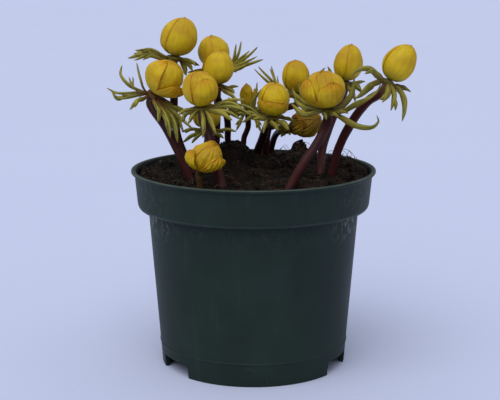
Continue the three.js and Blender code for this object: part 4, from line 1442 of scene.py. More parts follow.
FLOWERS = (
    Flower(
        "01", 1.8, (-27.5, 5), ((-33, 8, 97.3), (-35.9, 12, 108.2), (-36.3, 13, 120.5)),
        (-34.1, 12, 147.4), (0.17, -0.05, 1), 8.5, 18, 0.15, 20, (0.24, 0),
        bracts=(Bract(70, 0, -25, 90, 14, 4),),
        straps=(
            (2, (-6, 2.5, 1.2), (-12.5, 3, 3.4), (-18.5, 3.5, 3.4)),
            (2.2, (-6, 1, 1.2), (-12.5, 1, 3.2), (-19, 1, 2)),
            (2.4, (-6, -0.5, 1), (-13, -1.5, 3), (-21.4, -2, 0.2)),
            (2, (-6, -2, 0.6), (-12, -3.5, 2.2), (-18.2, -4.5, -0.6)),
            (1.6, (-5.5, -3, 0.9), (-10.5, -4.4, 2.3), (-15.5, -5.4, 1)),
            (2, (5, -1.5, 0), (8, -2, -1.2), (10, -2, -3.4)),
            (2.2, (4, 0, -0.5), (6.5, 0, -2.2), (8.3, 0, -5.6)),
            (2.4, (3.5, 1.5, -1.5), (4.8, 1, -4.4), (5.3, 0.5, -8)),
        ),
    ),
    Flower(
        "02", 1.6, (-17.3, 14), ((-16.8, 17, 103.8), (-16.8, 20, 117.4)),
        (-18.3, 22, 139.6), (-0.03, 0, 1), 7.4, 15.4, 0.1, 50, (-0.1, 0),
        bracts=(
            Bract(130, 0, -20, 90, 13, 4), Bract(240, -14, -20, 80, 11, 3),
            Bract(50, 0, -15, 60, 12, 3),
        ),
        straps=(
            (1.3, (6.8, -1, 2.4), (9, -2, 6.4), (10.2, -2.5, 13.2)),
            (1.4, (6.8, -1, 2.4), (10.6, -2, 7.4), (12.5, -2.5, 14.4)),
            (1.4, (7, -1, 2.2), (12.4, -2, 6.6), (16.6, -2.5, 9.9)),
            (1.6, (7, -1, 2), (14.6, -2, 6.8), (20.4, -2.5, 11.8)),
            (1.6, (7, -1, 1.6), (14.6, -2, 4.8), (20.1, -2.5, 7.2)),
            (1.8, (7, -1, 1.2), (15.5, -2, 3.6), (23.1, -2.5, 5.8)),
            (2.2, (6.5, -1, 0.6), (11, -2, 1.8), (15.5, -2.5, 3.4)),
        ),
    ),
    Flower(
        "03", 1.6, (-11.9, 24), ((-12.2, 18, 109.3),),
        (-15.9, 6, 133.9), (0.05, -0.1, 1), 7.2, 15.6, 0.2, -30, (0.1, 0),
        bracts=(Bract(100, -10, -20, 90, 12, 4), Bract(212, -26, -20, 80, 11, 4)),
        straps=(
            (1.6, (4, -1, -0.3), (6, -1.5, -0.8), (8, -2, -2.8)),
            (1.4, (4.5, 0, 0), (7, 0, 0.5), (9.8, 0, 0.4)),
            (2, (3, -3, -1), (6, -4, -2.4), (9, -5, -5)),
        ),
        blush=0.8,
    ),
    Flower(
        "04", 1.9, (-28.4, -4), ((-33.7, -4, 96.9), (-39, -2, 107.4)),
        (-39.4, 2, 129.8), (0.62, -0.22, 1), 8.1, 17.5, 0.05, -10, (0.1, 0.1),
        flaps=(Flap(-50, 0.16, 0.86, 52), Flap(40, 0.42, 0.6, 46)),
        bracts=(Bract(50, -34, -30, 80, 15, 4), Bract(115, -10, -20, 40, 12, 2)),
        straps=(
            (1.1, (-4, -1, 2.6), (-6, -2, 8.2), (-7.4, -2, 15.4)),
            (1.4, (-6, -1.5, 2.5), (-11, -2.5, 5.3), (-14.5, -3, 10.3), (-13.6, -3, 14.4)),
            (1.3, (-5, -2, 1.8), (-8.8, -3, 4.2), (-10.8, -3.5, 9)),
            (1.8, (-6, 0, 1), (-12, 0, 0), (-17, 0, -0.6), (-19.4, 0, 3)),
            (1.4, (-6, 2.5, 1.4), (-12, 5, 0.8), (-18, 7.5, 0.6), (-22.7, 9, 2.8)),
            (1.3, (-5.5, -1.5, 0.8), (-11, -2, -0.3), (-15.5, -2, -0.8), (-17.8, -2, 1.2)),
            (1.8, (-4, -2.5, -0.5), (-7.2, -4, -1.6), (-10.8, -5, -6)),
            (1.4, (-4, 3, -0.8), (-6, 4, -2.4), (-9.5, 5, -2.8)),
            (2.2, (0.4, -4.8, -1.6), (2.4, -8.5, -5.4), (2.2, -10, -11.4)),
            (3, (2.4, -4.8, -3), (5.6, -8.6, -7.4), (7.4, -11, -12), (8, -12, -18)),
            (2.8, (3.8, -4, -4), (8.6, -7, -8.6), (10.6, -9.5, -14), (11, -10.5, -20.4)),
            (2, (4.6, -2.6, -4.4), (10.4, -4.5, -8.4), (13.6, -6, -16.4)),
            (1.8, (4.8, -3.6, -3.4), (12.6, -8, -9), (19, -11, -14.8)),
            (2, (4.8, 1, -4.4), (10, 0.5, -5.4), (15, 0, -7.6)),
        ),
        blush=0.95,
    ),
    Flower(
        "05", 2.1, (-13.6, -27), ((-16.3, -23, 94.3), (-18.9, -20.5, 104.9)),
        (-23.1, -18, 127.1), (-0.06, -0.16, 1), 7.6, 15.8, 0, 25, (-0.1, 0.05),
        flaps=(Flap(30, 0.05, 0.74, 60),),
        bracts=(Bract(100, -20, -20, 90, 12, 4),),
        ribs=1.6,
        straps=(
            (1.8, (5.5, 2, 1.2), (11, 3, 3.6), (20, 4, 3.8)),
            (2, (5.5, 0.5, 0.8), (12, 0.5, 2.8), (19.5, 0, -1.2)),
            (1.8, (5.5, -1, 0.5), (13, -1.5, 1.4), (23, -2, -3)),
            (2.4, (4.5, -3, -0.2), (9, -5, -0.8), (13.7, -6, -4.4)),
            (2, (5, -2, 0), (12, -3.5, -1), (17.6, -4, -4.4)),
            (2, (2.5, -4, -1), (4.8, -7, -4.8), (6.6, -8, -10.4)),
            (2.2, (0.3, -4.6, -1), (1, -7.5, -5), (0.6, -8, -12)),
            (1.8, (-2.5, -4, -0.8), (-4, -5.5, -2.5), (-5.8, -6, -6)),
            (1.8, (-4.5, -1.5, 0), (-7.4, -2, -0.3), (-10.5, -2.5, -2.6)),
            (1.8, (-4, 2, -1), (-7.4, 3.5, -2.6), (-9.6, 4, -7)),
        ),
    ),
    Flower(
        "06", 1.5, (-20.5, 0), ((-21.5, 5, 96.4),),
        (-21.1, 8, 111.8), (0, -0.2, 1), 6.6, 11.8, 0.2, 0,
        bracts=(Bract(90, -20, -10, 80, 10, 3),),
        straps=(
            (1.6, (-5, -1, 0), (-8, -1.5, -0.8), (-11.8, -2, -2.8)),
            (1.6, (-4.5, -2.5, -0.8), (-7.5, -3.5, -2), (-11.2, -4, -5)),
            (1.6, (-3, -3.8, -1), (-5, -5, -2.5), (-7, -5.5, -5.2)),
            (1.6, (5, -1, 0.3), (9, -1, 0.8), (13.7, -1, -0.3)),
            (1.6, (4, -3, -0.6), (6, -4, -1.2), (8, -4.5, -3)),
        ),
        stain=0.45,
    ),
    Flower(
        "07", 1.4, (-4.9, 30), ((-4.4, 30, 98.1), (-2.5, 28, 103.7)),
        (-3, 26, 118.4), (-0.05, -0.1, 1), 3.2, 12.4, -0.1, 15,
        flaps=(Flap(-30, 0.2, 0.8, 36), Flap(70, 0.4, 0.7, 36), Flap(170, 0.2, 0.9, 36)),
        bracts=(
            Bract(190, -5, 10, 90, 12, 4), Bract(-45, 0, 10, 90, 12, 3),
            Bract(75, 0, 10, 90, 12, 4),
        ),
        straps=(
            (1.8, (-3.5, -3, -1.5), (-5, -5, -3.6), (-7.2, -6, -7.8)),
            (1.6, (3, -3.5, -1), (4.5, -5, -4), (6, -6, -8.5)),
            (1.8, (1.5, -4.4, 1.4), (2.4, -5.6, 6.6), (8.4, -6, 13.2)),
            (1.2, (2.4, -4, 1.4), (3.6, -5.4, 7.4), (4.4, -5.6, 15.2)),
            (2, (-1.6, -4.6, 1), (-3.6, -6.2, 3.6), (-9.4, -6.4, 8)),
            (1.8, (-3.6, -3.4, 0.4), (-6.4, -4.6, 1.6), (-9.6, -5, 4.4)),
            (2.2, (3.4, -3.6, 0.6), (5, -5.4, 2.4), (5.4, -6, 6.4)),
        ),
        crumple=0.8,
    ),
    Flower(
        "08", 1.9, (2, 28), ((4, 18, 99), (6.5, 2, 108)),
        (9.1, -6, 121), (0.05, -0.28, 1), 7.1, 15, -0.05, 0, (0, -0.1),
        flaps=(Flap(-8, 0.12, 0.58, 72, 6),),
        bracts=(Bract(50, -12, -10, 100, 12, 4), Bract(135, -5, -15, 50, 12, 3)),
        straps=(
            (1.8, (-5.5, 1, 0.5), (-10, 1.5, 4), (-16, 2, 6)),
            (2, (-5.5, -0.5, 0.2), (-10, -1, 2.4), (-17, -1.5, 2)),
            (1.8, (-5, -2, 0), (-9, -3, 1.2), (-14, -3.5, -2)),
            (1.8, (-4.5, -3, -0.2), (-6.8, -4.5, 0.6), (-9.8, -5, -0.4)),
            (2.6, (-0.5, -4.8, -1), (0.8, -7, -2.2), (2.2, -8, -5)),
            (2.6, (2.5, -4.2, -0.8), (4.8, -6.5, -1.6), (7.2, -7.5, -5)),
            (2, (-3, -4.5, -1), (-3.8, -6.5, -3), (-4.4, -7, -6.4)),
        ),
        crumple=0.4,
    ),
    Flower(
        "09", 1.6, (5.6, 34), ((7.4, 26, 104), (12.3, 18, 113)),
        (19.4, 14, 129.1), (-0.06, -0.12, 1), 6.4, 15.5, -0.05, 0, (0, 0.1),
        flaps=(Flap(180, 0.42, 0.9, 52),),
        bracts=(Bract(15, -5, -15, 80, 12, 4), Bract(85, 5, -10, 80, 12, 3)),
        straps=(
            (1.2, (-7.4, 0, 3), (-9.6, 0, 8), (-11.9, 0, 16.5)),
            (1.1, (-7, -2.6, 2.4), (-10.2, -2.4, 7.2), (-12.6, -2, 13)),
            (1.3, (-7.6, 0.5, 2.8), (-12, 1, 7.4), (-18.1, 1.5, 13.6)),
            (1.3, (-7.4, -2.4, 1.2), (-12.6, -2.6, 6.2), (-20, -2.6, 12.8)),
            (2, (-6, -2, 0.5), (-11, -3, 3), (-17, -4, 3)),
        ),
        blush=0.6,
    ),
    Flower(
        "10", 2.1, (15.6, -29), ((21.5, -28, 96.1), (28.5, -24, 106)),
        (30.6, -20, 126.9), (-0.12, -0.22, 1), 8.7, 16.4, -0.15, 30, (-0.1, 0),
        flaps=(Flap(-62, 0.16, 0.8, 42), Flap(20, 0.08, 0.72, 56)),
        bracts=(Bract(90, -8, -14, 100, 13, 4),),
        straps=(
            (
                2.2, (6, -5, -0.4), (13, -13.6, -0.9), (18.6, -15.4, 0.3), (20.8, -15.4, 3.3),
                (19.6, -15.4, 5.7),
            ),
            (
                2.6, (6.5, -5, 0.8), (11, -12, 4.6), (16, -17.2, 7.6), (19.5, -19.4, 10.6),
                (21.2, -20.2, 14.6),
            ),
            (2.2, (6.2, 1, 1.5), (9.8, 1.5, 5.5), (11.4, 1.5, 9.4), (11.8, 1, 14.6)),
            (2.4, (-5, -1, -0.5), (-10, -1.5, -1.2), (-13.5, -1.5, 1.3), (-16, -1.5, 3.8)),
            (2.2, (-5.5, 1, 0.8), (-10.5, 1.5, 4), (-14.4, 1.5, 8), (-14.9, 1.5, 10.8)),
            (2, (-5.5, 0, 0.3), (-10.5, 0, 2), (-15, 0, 5.8)),
            (1.4, (-5.5, 2, 0.8), (-10.8, 3, 7), (-12.4, 3, 12.6)),
            (1.6, (-1.5, -5, -0.6), (-1, -7.5, -1), (-0.6, -9, -3.4)),
            (1.6, (1.5, -5, -0.5), (2.6, -8, -0.3), (5, -9.5, -2.2)),
            (1.8, (3.5, -4, -0.3), (6, -6.5, 0.6), (9, -7.5, -0.6)),
        ),
        crumple=0.55, ribs=1.9, stain=0.12, lobes=PLAIN,
    ),
    Flower(
        "11", 1.5, (8.1, 42), ((10.4, 34, 98.5), (13.4, 21, 103)),
        (24.4, 3, 109.2), (0.66, -0.62, 0.36), 6.6, 15, 0.1, 0,
        flaps=(Flap(-20, 0.25, 0.7, 40),),
        bracts=(
            Bract(205, -5, 10, 70, 8, 4), Bract(-125, -30, 20, 60, 8, 3),
            Bract(60, 40, 10, 70, 8, 3),
        ),
        crumple=0.6, ribs=2.4, stain=0.95, blush=0.9,
    ),
    Flower(
        "12", 1.9, (30.2, -3), ((31.4, 6, 96.6), (35.4, 13, 107.3)),
        (42.5, 8, 136), (0.12, -0.05, 1), 6.7, 17, 0.4, 40, (0.1, 0),
        bracts=(Bract(110, -6, -20, 120, 12, 4),),
        straps=(
            (1.8, (-5.5, 0, 0.5), (-9, 0, 1.5), (-10.9, 0, 4.5), (-8.8, 0, 7.6)),
            (1.8, (-4.5, 2, 0.2), (-6.8, 3, 2), (-6.4, 4, 5), (-7.8, 4, 7.8)),
            (2, (4.2, -2.5, 0), (5.8, -4, -1.2), (7.8, -5, -4)),
            (1.8, (5, 0.5, 0.4), (7, 0.8, 1.1), (9.6, 1, 0.9)),
            (2, (1.5, -4.2, -1), (3.4, -6.5, -3.4), (4.5, -7, -8)),
        ),
        crumple=0.2, lobes=PLAIN,
    ),
    Flower(
        "13", 2, (34.9, -4), ((37.6, -6, 98.2), (42.3, -12, 110.2), (48.6, -22, 121.5)),
        (60.9, -34, 139.7), (0.56, 0.04, 1), 6.9, 17, 0.35, -15, (0.1, 0),
        bracts=(Bract(70, -22, -24, 110, 12, 4),),
        straps=(
            (2, (-4.2, 0, 3.4), (-8.8, 0, 6.4), (-13.8, 0, 4.8), (-14.8, 0, 2.2)),
            (2.4, (-3.8, -1.5, 2.4), (-6.8, -2.5, 4.2), (-10.4, -3, 1.6)),
            (2.6, (-3.8, 0, 1), (-7, 3, -0.6), (-10.6, 6, -5.4), (-13.6, 8.5, -8)),
            (2.4, (-1.5, -4, -1.2), (-2.4, -5.5, -3.8), (-4.8, -6, -7.6)),
            (2, (1, -4, -1), (2.4, -5.5, -4.4), (0.6, -6, -11.4)),
            (2, (4, -2.5, -0.6), (6.8, -3.5, -4.2), (6.8, -4, -9.4), (5.6, -4, -14.8)),
        ),
        crumple=0.2, lobes=PLAIN,
    ),
    Flower(
        "14", 1.4, (-22.8, -29.5), ((-23.3, -30.3, 89.6),),
        (-21, -33, 99.6), (0.26, -0.3, 0.9), 6.6, 13, -0.1, 10, (0.42, -0.1),
        flaps=(Flap(40, 0.3, 0.74, 50), Flap(-56, 0.36, 0.7, 42), Flap(175, 0.34, 0.86, 36)),
        crumple=0.9, ribs=2.6, stain=0.1, pale_stem=0.6,
    ),
)


@dataclass
class GrownCurve:
    """A smooth curve through points, its knots spaced by the root of the distance between them."""

    points: list[Array]
    divisions: int = 200

    def at(self, place: float) -> Array:
        """Give the point at a share of the knots.

        Args:
            place: From 0 to 1.

        Returns:
            The point.
        """
        last = len(self.points) - 1
        index = min(int(place * last), last - 1)
        weight = place * last - index
        p1, p2 = self.points[index], self.points[index + 1]
        p0 = self.points[index - 1] if index > 0 else 2 * p1 - p2
        p3 = self.points[index + 2] if index + 2 <= last else 2 * p2 - p1
        d0, d1, d2 = (math.sqrt(np.linalg.norm(b - a)) for a, b in ((p0, p1), (p1, p2), (p2, p3)))
        leave = ((p1 - p0) / d0 - (p2 - p0) / (d0 + d1) + (p2 - p1) / d1) * d1
        arrive = ((p2 - p1) / d1 - (p3 - p1) / (d1 + d2) + (p3 - p2) / d2) * d1
        square = -3 * p1 + 3 * p2 - 2 * leave - arrive
        cube = 2 * p1 - 2 * p2 + leave + arrive
        return p1 + leave * weight + square * weight**2 + cube * weight**3

    def spaced(self, count: int) -> Array:
        """Give points at even steps along the curve.

        Args:
            count: How many steps.

        Returns:
            One more point than steps.
        """
        places = np.linspace(0.0, 1.0, self.divisions + 1)
        dense = np.array([self.at(place) for place in places])
        run = np.concatenate([[0.0], np.cumsum(np.linalg.norm(np.diff(dense, axis=0), axis=1))])
        wanted = np.interp(np.linspace(0.0, run[-1], count + 1), run, places)
        return np.array([self.at(place) for place in wanted])


@dataclass
class Stems:
    """The fleshy stems, each swept along its own curve."""

    finish: StemFinish = StemFinish()
    steps: int = 90
    sides: int = 20
    girth: float = 0.98
    swelling: float = 0.24
    joined: float = GAP + 0.06

    def build(self) -> None:
        """Make every stem, a little longer than its path so that no light shows above it."""
        shape = strand_tree()
        finish = self.finish.material()
        for number, flower in enumerate(FLOWERS):
            points = GrownCurve(flower.stem_points()).spaced(self.steps)
            points[-1] += flower.head().axis * self.joined
            along = np.linspace(0.0, 1.0, self.steps + 1)
            paint = {"along": along, "tone": 7.3 * number, "pale": flower.pale_stem}
            source = rough_object(f"path_{flower.name}", points, chain(len(points)), [], **paint)
            stem = shape.bake(
                source, f"stem_{flower.name}_flesh", finish, Thickness=self.girth * flower.thick * MM,
                Sides=self.sides, Swelling=self.swelling, Shake=0.22 * MM, Shake_Scale=240.0,
            )
            settle(stem, Slot.STEM, f"stem_{flower.name}")


@dataclass
class Blocker:
    """A run of balls of one radius that a lobe keeps clear of."""

    owner: str
    kind: Obstacle
    balls: Array
    reach: float


LOBE_STEPS = 9
LOBE_REACH = 1.1
LOBE_WIDTH = 2.0
LOBE_JITTER = 8.0
LOBES_PART = (-0.1, 0.25)
STRAP_FACE = (0.0, -0.8, 0.6)
COLLAR_PROFILE = (
    (0.6, -0.5), (2.3, -0.46), (2.75, -0.3), (3.15, 0.0), (3.5, 0.28), (3.4, 0.46), (2.2, 0.5),
    (1.8, 0.56), (1.4, 0.67),
)
STEM_BALLS = 36
BLOOM_BALLS = np.array([0.3, 0.5, 0.7])
RIM_ROOM = 2.0
OWN_ROOM = 1.1
OTHER_ROOM = 1.6

# A bend changes a lobe's direction and lift in degrees, and takes a share of its length
BENDS: tuple[Bend, ...] = (
    (0, 0, 1), (0, -12, 1), (0, 12, 1), (14, 0, 1), (-14, 0, 1), (14, -14, 1), (-14, -14, 1), (14, 14, 1),
    (-14, 14, 1), (0, -26, 0.9), (0, 26, 0.9), (28, 0, 0.9), (-28, 0, 0.9), (0, 0, 0.7), (20, 20, 0.7),
    (-20, 20, 0.7), (20, -20, 0.7), (-20, -20, 0.7), (0, 0, 0.5), (0, 35, 0.5), (0, -35, 0.5),
)


@dataclass
class Lobe:
    """One lobe's middle line, the way its width runs at each step of it and how wide it is."""

    points: Array
    wide: Array
    seed: float
    width: float
    stands_alone: bool = False


@dataclass(frozen=True)
class Teeth:
    """The side teeth of one kind of lobe.

    Chance is for each side, first is the nearest that one starts to the root as a share of the lobe, share
    is a tooth's length as a share of the lobe's, and longest is in millimetres.
    """

    chance: float
    first: float
    share: float
    longest: float


# Places across a blade, over its upper face and then back under it
BLADE_TOP = np.array([-1.0, -0.72, -0.4, -0.12, 0.12, 0.4, 0.72, 1.0])
BLADE_LOW = np.array([0.8, 0.4, 0.0, -0.4, -0.8])


@dataclass
class Ruff:
    """One flower's ruff under construction: its collar, and a blade with side teeth for each lobe."""

    flower: Flower
    skin: Skin = field(default_factory=Skin)
    fan_teeth: Teeth = Teeth(0.3, 0.44, 0.36, 6.2)
    strap_teeth: Teeth = Teeth(0.2, 0.42, 0.34, 5.2)
    tooth_steps: int = 8
    tooth_angle: float = 30.0
    tooth_turn: float = 2.4
    toothed_length: float = 9.0
    tip_trim: float = 0.2
    thickness: float = 0.36
    tip_thinning: float = 0.72
    channel: float = 0.85
    rib: float = 0.1
    keel: float = 0.45
    twist: float = 50.0
    wobble: float = 9.0
    wave: float = 0.12
    stations: int = 20

    def width_share(self, share: Array) -> Array:
        """Give a lobe's width as a share of its widest, by the way from root to tip."""
        low = 0.55 + 0.45 * np.sin(0.5 * np.pi * ramp(share, 0.0, 0.45))
        return low * (1 - ramp(share, 0.45, 1.0) ** self.flower.lobes.taper) ** self.flower.lobes.point

    def blade(self, middle: Array, wide: Array, half: Array, seed: float, start: float) -> None:
        """Add one thin channelled blade.

        Args:
            middle: Points along the blade's middle.
            wide: The way that its width runs at each.
            half: Half its width at each.
            seed: The seed of its waves.
            start: Where the blade starts on the bract, from 0 at the root to 1 at the tip.
        """
        heading = unit(np.gradient(middle, axis=0))
        flat = unit(wide - heading * np.sum(wide * heading, axis=1, keepdims=True))
        upright = np.cross(flat, heading)
        share = np.linspace(0.0, 1.0, len(middle))
        twist = self.twist * (draw(seed + 0.2) - 0.5) * share + self.wobble * np.sin(7 * share + seed)
        twist = np.radians(twist)[:, None]
        wide = flat * np.cos(twist) + upright * np.sin(twist)
        normal = upright * np.cos(twist) - flat * np.sin(twist)
        across = np.concatenate([BLADE_TOP, BLADE_LOW])
        rib = self.rib * np.exp(-((BLADE_TOP / 0.2) ** 2))
        keel = 1 + self.keel * np.exp(-((BLADE_LOW / 0.3) ** 2))
        thick = self.thickness * (1 - self.tip_thinning * smooth(share, 0.55, 1.0))[:, None]
        wave = self.wave * np.sin(14 * share + 3 * seed)[:, None] * np.abs(across) * across
        lift = half[:, None] * (self.channel * np.abs(across) ** 1.6 + wave)
        height = lift - np.concatenate([rib, keel]) * thick
        rings = middle[:, None, :] + wide[:, None, :] * (half[:, None] * across)[..., None]
        rings = rings - normal[:, None, :] * height[..., None]
        along = (start + (1 - start) * share)[:, None]
        self.skin.tube(rings, along=along, across=across, tone=seed % 50, blush=self.flower.blush)

    def lobe(self, lobe: Lobe) -> None:
        """Add a lobe with its side teeth.

        Args:
            lobe: The lobe.
        """
        style = self.flower.lobes
        points = list(lobe.points)
        points[-1] = points[-1] + (points[-2] - points[-1]) * self.tip_trim
        middle = GrownCurve(points, 60).spaced(self.stations)
        share = np.linspace(0.0, 1.0, self.stations + 1)
        rows = np.linspace(0.0, 1.0, LOBE_STEPS + 1)
        sides = np.concatenate([lobe.wide[:1], lobe.wide])
        wide = np.stack([np.interp(share, rows, column) for column in sides.T], axis=-1)
        size = style.breadth * lobe.width * (0.9 + 0.2 * draw(lobe.seed + 0.8))
        self.blade(middle, wide, size / 2 * self.width_share(share) + 0.04, lobe.seed, 0.0)
        length = float(np.linalg.norm(np.diff(middle, axis=0), axis=1).sum())
        if length < self.toothed_length:
            return
        kind = self.strap_teeth if lobe.stands_alone else self.fan_teeth
        heading = unit(np.gradient(middle, axis=0))
        for number, side in enumerate((-1, 1)):
            if draw(lobe.seed + 3.1 + number) > kind.chance * style.toothed:
                continue
            at = kind.first + 0.24 * draw(lobe.seed + 5.7 + number)
            reach = min(kind.share * length, kind.longest) * (0.7 + 0.45 * draw(lobe.seed + 7.9 + number))
            first = round(at * self.stations)
            steps = np.arange(self.tooth_steps + 1)
            row = np.minimum(first + steps, self.stations)
            part = np.radians(side * (self.tooth_angle - self.tooth_turn * steps))[:, None]
            ways = unit(wide[row] * np.cos(part) - heading[row] * np.sin(part))
            moves = unit(heading[row] * np.cos(part) + wide[row] * np.sin(part)) * reach / self.tooth_steps
            run = np.cumsum([middle[first], *moves[:-1]], axis=0)
            narrow = 0.32 * size * np.sin(np.pi * np.linspace(0.3, 1.0, len(run))) ** 0.7 + 0.03
            self.blade(run, ways, narrow, lobe.seed + 11 * (number + 1), at)

    def collar(self) -> None:
        """Add the short collar where the bracts grow together."""
        head = self.flower.head()
        angle = full_turn(28)
        circle = head.side * np.cos(angle)[:, None] + head.front * np.sin(angle)[:, None]
        ripple = (1 + 0.035 * np.sin(9 * angle + 2.0))[:, None]
        rings = [
            head.collar + circle * radius * ripple + head.axis * up * COLLAR_HEIGHT
            for radius, up in COLLAR_PROFILE
        ]
        self.skin.tube(np.array(rings), along=0.12, across=0.5, tone=3.0, blush=self.flower.blush)


@dataclass
class Ruffs:
    """The green ruffs: bracts cut into lobes, which are bent clear of what grows beside them."""

    finish: BractFinish = BractFinish()
    blockers: list[Blocker] = field(default_factory=list)

    def fan_line(self, head: Head, bract: Bract, place: float, seed: float, bend: Bend) -> Lobe:
        """Grow the middle line of one lobe of a bract.

        Args:
            head: The places of the flower's head.
            bract: The bract.
            place: The lobe's place in it, from -1 to 1.
            seed: The seed of its own small differences.
            bend: How it is bent clear.

        Returns:
            The lobe.
        """
        swing, raise_by, share = bend
        fan = place * bract.spread / 2 + LOBE_JITTER * (draw(seed) - 0.5)
        root = head.root(level_way(math.radians(bract.direction + fan)))
        curl = bract.curl * (0.55 + 0.9 * draw(seed + 0.3))
        length = bract.length * (1 - 0.24 * abs(place)) * (0.92 + 0.16 * draw(seed + 0.6))
        azimuth = math.radians(bract.direction + swing)
        along = (np.arange(LOBE_STEPS) + 0.5) / LOBE_STEPS
        rise = np.radians(bract.lift + raise_by + curl * along)[:, None]
        ahead = np.cos(rise) * level_way(azimuth) + np.sin(rise) * np.array([0.0, 0.0, 1.0])
        across = np.array([-math.sin(azimuth), math.cos(azimuth), 0.0])
        parted = math.radians(fan) * smooth(along, *LOBES_PART)[:, None]
        heading = ahead * np.cos(parted) + across * np.sin(parted)
        wide = across * np.cos(parted) - ahead * np.sin(parted)
        run = np.cumsum(heading * length * share / LOBE_STEPS, axis=0)
        return Lobe(np.concatenate([[root], root + run]), wide, seed, LOBE_WIDTH)

    def strap_line(self, head: Head, strap: tuple, seed: float, bend: Bend) -> Lobe:
        """Grow the middle line of a lobe that stands by itself.

        Args:
            head: The places of the flower's head.
            strap: Its width and the points that it goes through, from the collar.
            seed: The seed of its own small differences.
            bend: How it is bent clear.

        Returns:
            The lobe.
        """
        swing, raise_by, share = bend
        width, *route = strap
        cosine, sine, _ = level_way(math.radians(swing))
        spin = np.array([[cosine, sine, 0.0], [-sine, cosine, 0.0], [0.0, 0.0, 1.0]])
        steps = share * np.array(route, dtype=float) @ spin
        steps[:, 2] += np.hypot(steps[:, 0], steps[:, 1]) * math.tan(math.radians(raise_by))
        points = GrownCurve([head.root(steps[0]), *(head.collar + steps)]).spaced(LOBE_STEPS)
        wide = unit(np.cross(np.diff(points, axis=0), np.array(STRAP_FACE)))
        return Lobe(points, wide, seed, width, True)

    def clears(self, lobe: Lobe, owner: str) -> bool:
        """Test whether a lobe is clear of the pot, the compost and its neighbours.

        Args:
            lobe: The lobe.
            owner: The flower that it belongs to.

        Returns:
            True if it is clear.
        """
        points = lobe.points[1:]
        if np.any(np.abs(points[:, 1]) > LIP_RADIUS - RIM_ROOM):
            return False
        over_pot = np.hypot(points[:, 0], points[:, 1]) < LIP_RADIUS + RIM_ROOM
        floor = np.maximum(POT_HEIGHT, soil_top(points[:, 0], points[:, 1])) + RIM_ROOM
        if np.any(over_pot & (points[:, 2] < floor)):
            return False
        for blocker in self.blockers:
            own = blocker.owner == owner
            if own and blocker.kind is Obstacle.LOBE:
                continue
            wider = max(0.0, (lobe.width - LOBE_WIDTH) / 2)
            room = blocker.reach + (OWN_ROOM if own else OTHER_ROOM) + wider
            away = np.linalg.norm(points[:, None, :] - blocker.balls[None, :, :], axis=-1)
            if np.any(away <= room):
                return False
        return True

    def block_stems_and_blooms(self) -> None:
        """Note the stems and blooms as runs of balls that every lobe keeps clear of."""
        for flower in FLOWERS:
            head = flower.head()
            opened = max([0.1, *(flap.open for flap in flower.flaps)])
            reach = flower.radius * (1 + 0.5 * opened)
            low = reach * 0.96
            high = max(low, flower.height - reach)
            places = np.clip(flower.height * BLOOM_BALLS, low, high)
            middle = head.base + head.axis * places[:, None]
            curve = GrownCurve(flower.stem_points()).spaced(STEM_BALLS)
            self.blockers.append(Blocker(flower.name, Obstacle.STEM, curve, flower.thick))
            self.blockers.append(Blocker(flower.name, Obstacle.BLOOM, middle, reach))

    def first_clear(self, grow: Callable[[Bend], Lobe], owner: str) -> list[Lobe]:
        """Bend a lobe in ever larger ways until it is clear.

        Args:
            grow: What grows the lobe with a bend.
            owner: The flower that the lobe belongs to.

        Returns:
            The lobe alone, or nothing where no bend clears it.
        """
        for bend in BENDS:
            lobe = grow(bend)
            if self.clears(lobe, owner):
                return [lobe]
        return []

    def grown(self, number: int, flower: Flower) -> list[Lobe]:
        """Grow one flower's lobes in order, each bent until it is clear.

        Args:
            number: The flower's place in the table.
            flower: The flower.

        Returns:
            Its lobes. The flowers after it keep clear of them.
        """
        head = flower.head()
        lobes = []
        for i, strap in enumerate(flower.straps):
            grow = partial(self.strap_line, head, strap, 100 * number + 50 + i)
            lobes += self.first_clear(grow, flower.name)
        for turn, bract in enumerate(flower.bracts):
            for i in range(bract.lobes):
                place = 2 * i / (bract.lobes - 1) - 1
                grow = partial(self.fan_line, head, bract, place, 100 * number + 10 * turn + i + 1)
                lobes += self.first_clear(grow, flower.name)
        for lobe in lobes:
            self.blockers.append(Blocker(flower.name, Obstacle.LOBE, lobe.points[1:], LOBE_REACH))
        return lobes

    def build(self) -> None:
        """Make every ruff."""
        finish = self.finish.material()
        self.block_stems_and_blooms()
        for number, flower in enumerate(FLOWERS):
            if not flower.bracts:
                continue
            ruff = Ruff(flower)
            ruff.collar()
            for lobe in self.grown(number, flower):
                ruff.lobe(lobe)
            piece = ruff.skin.piece(f"ruff_{flower.name}_bracts", finish)
            settle(piece, Slot.BRACT, f"ruff_{flower.name}")


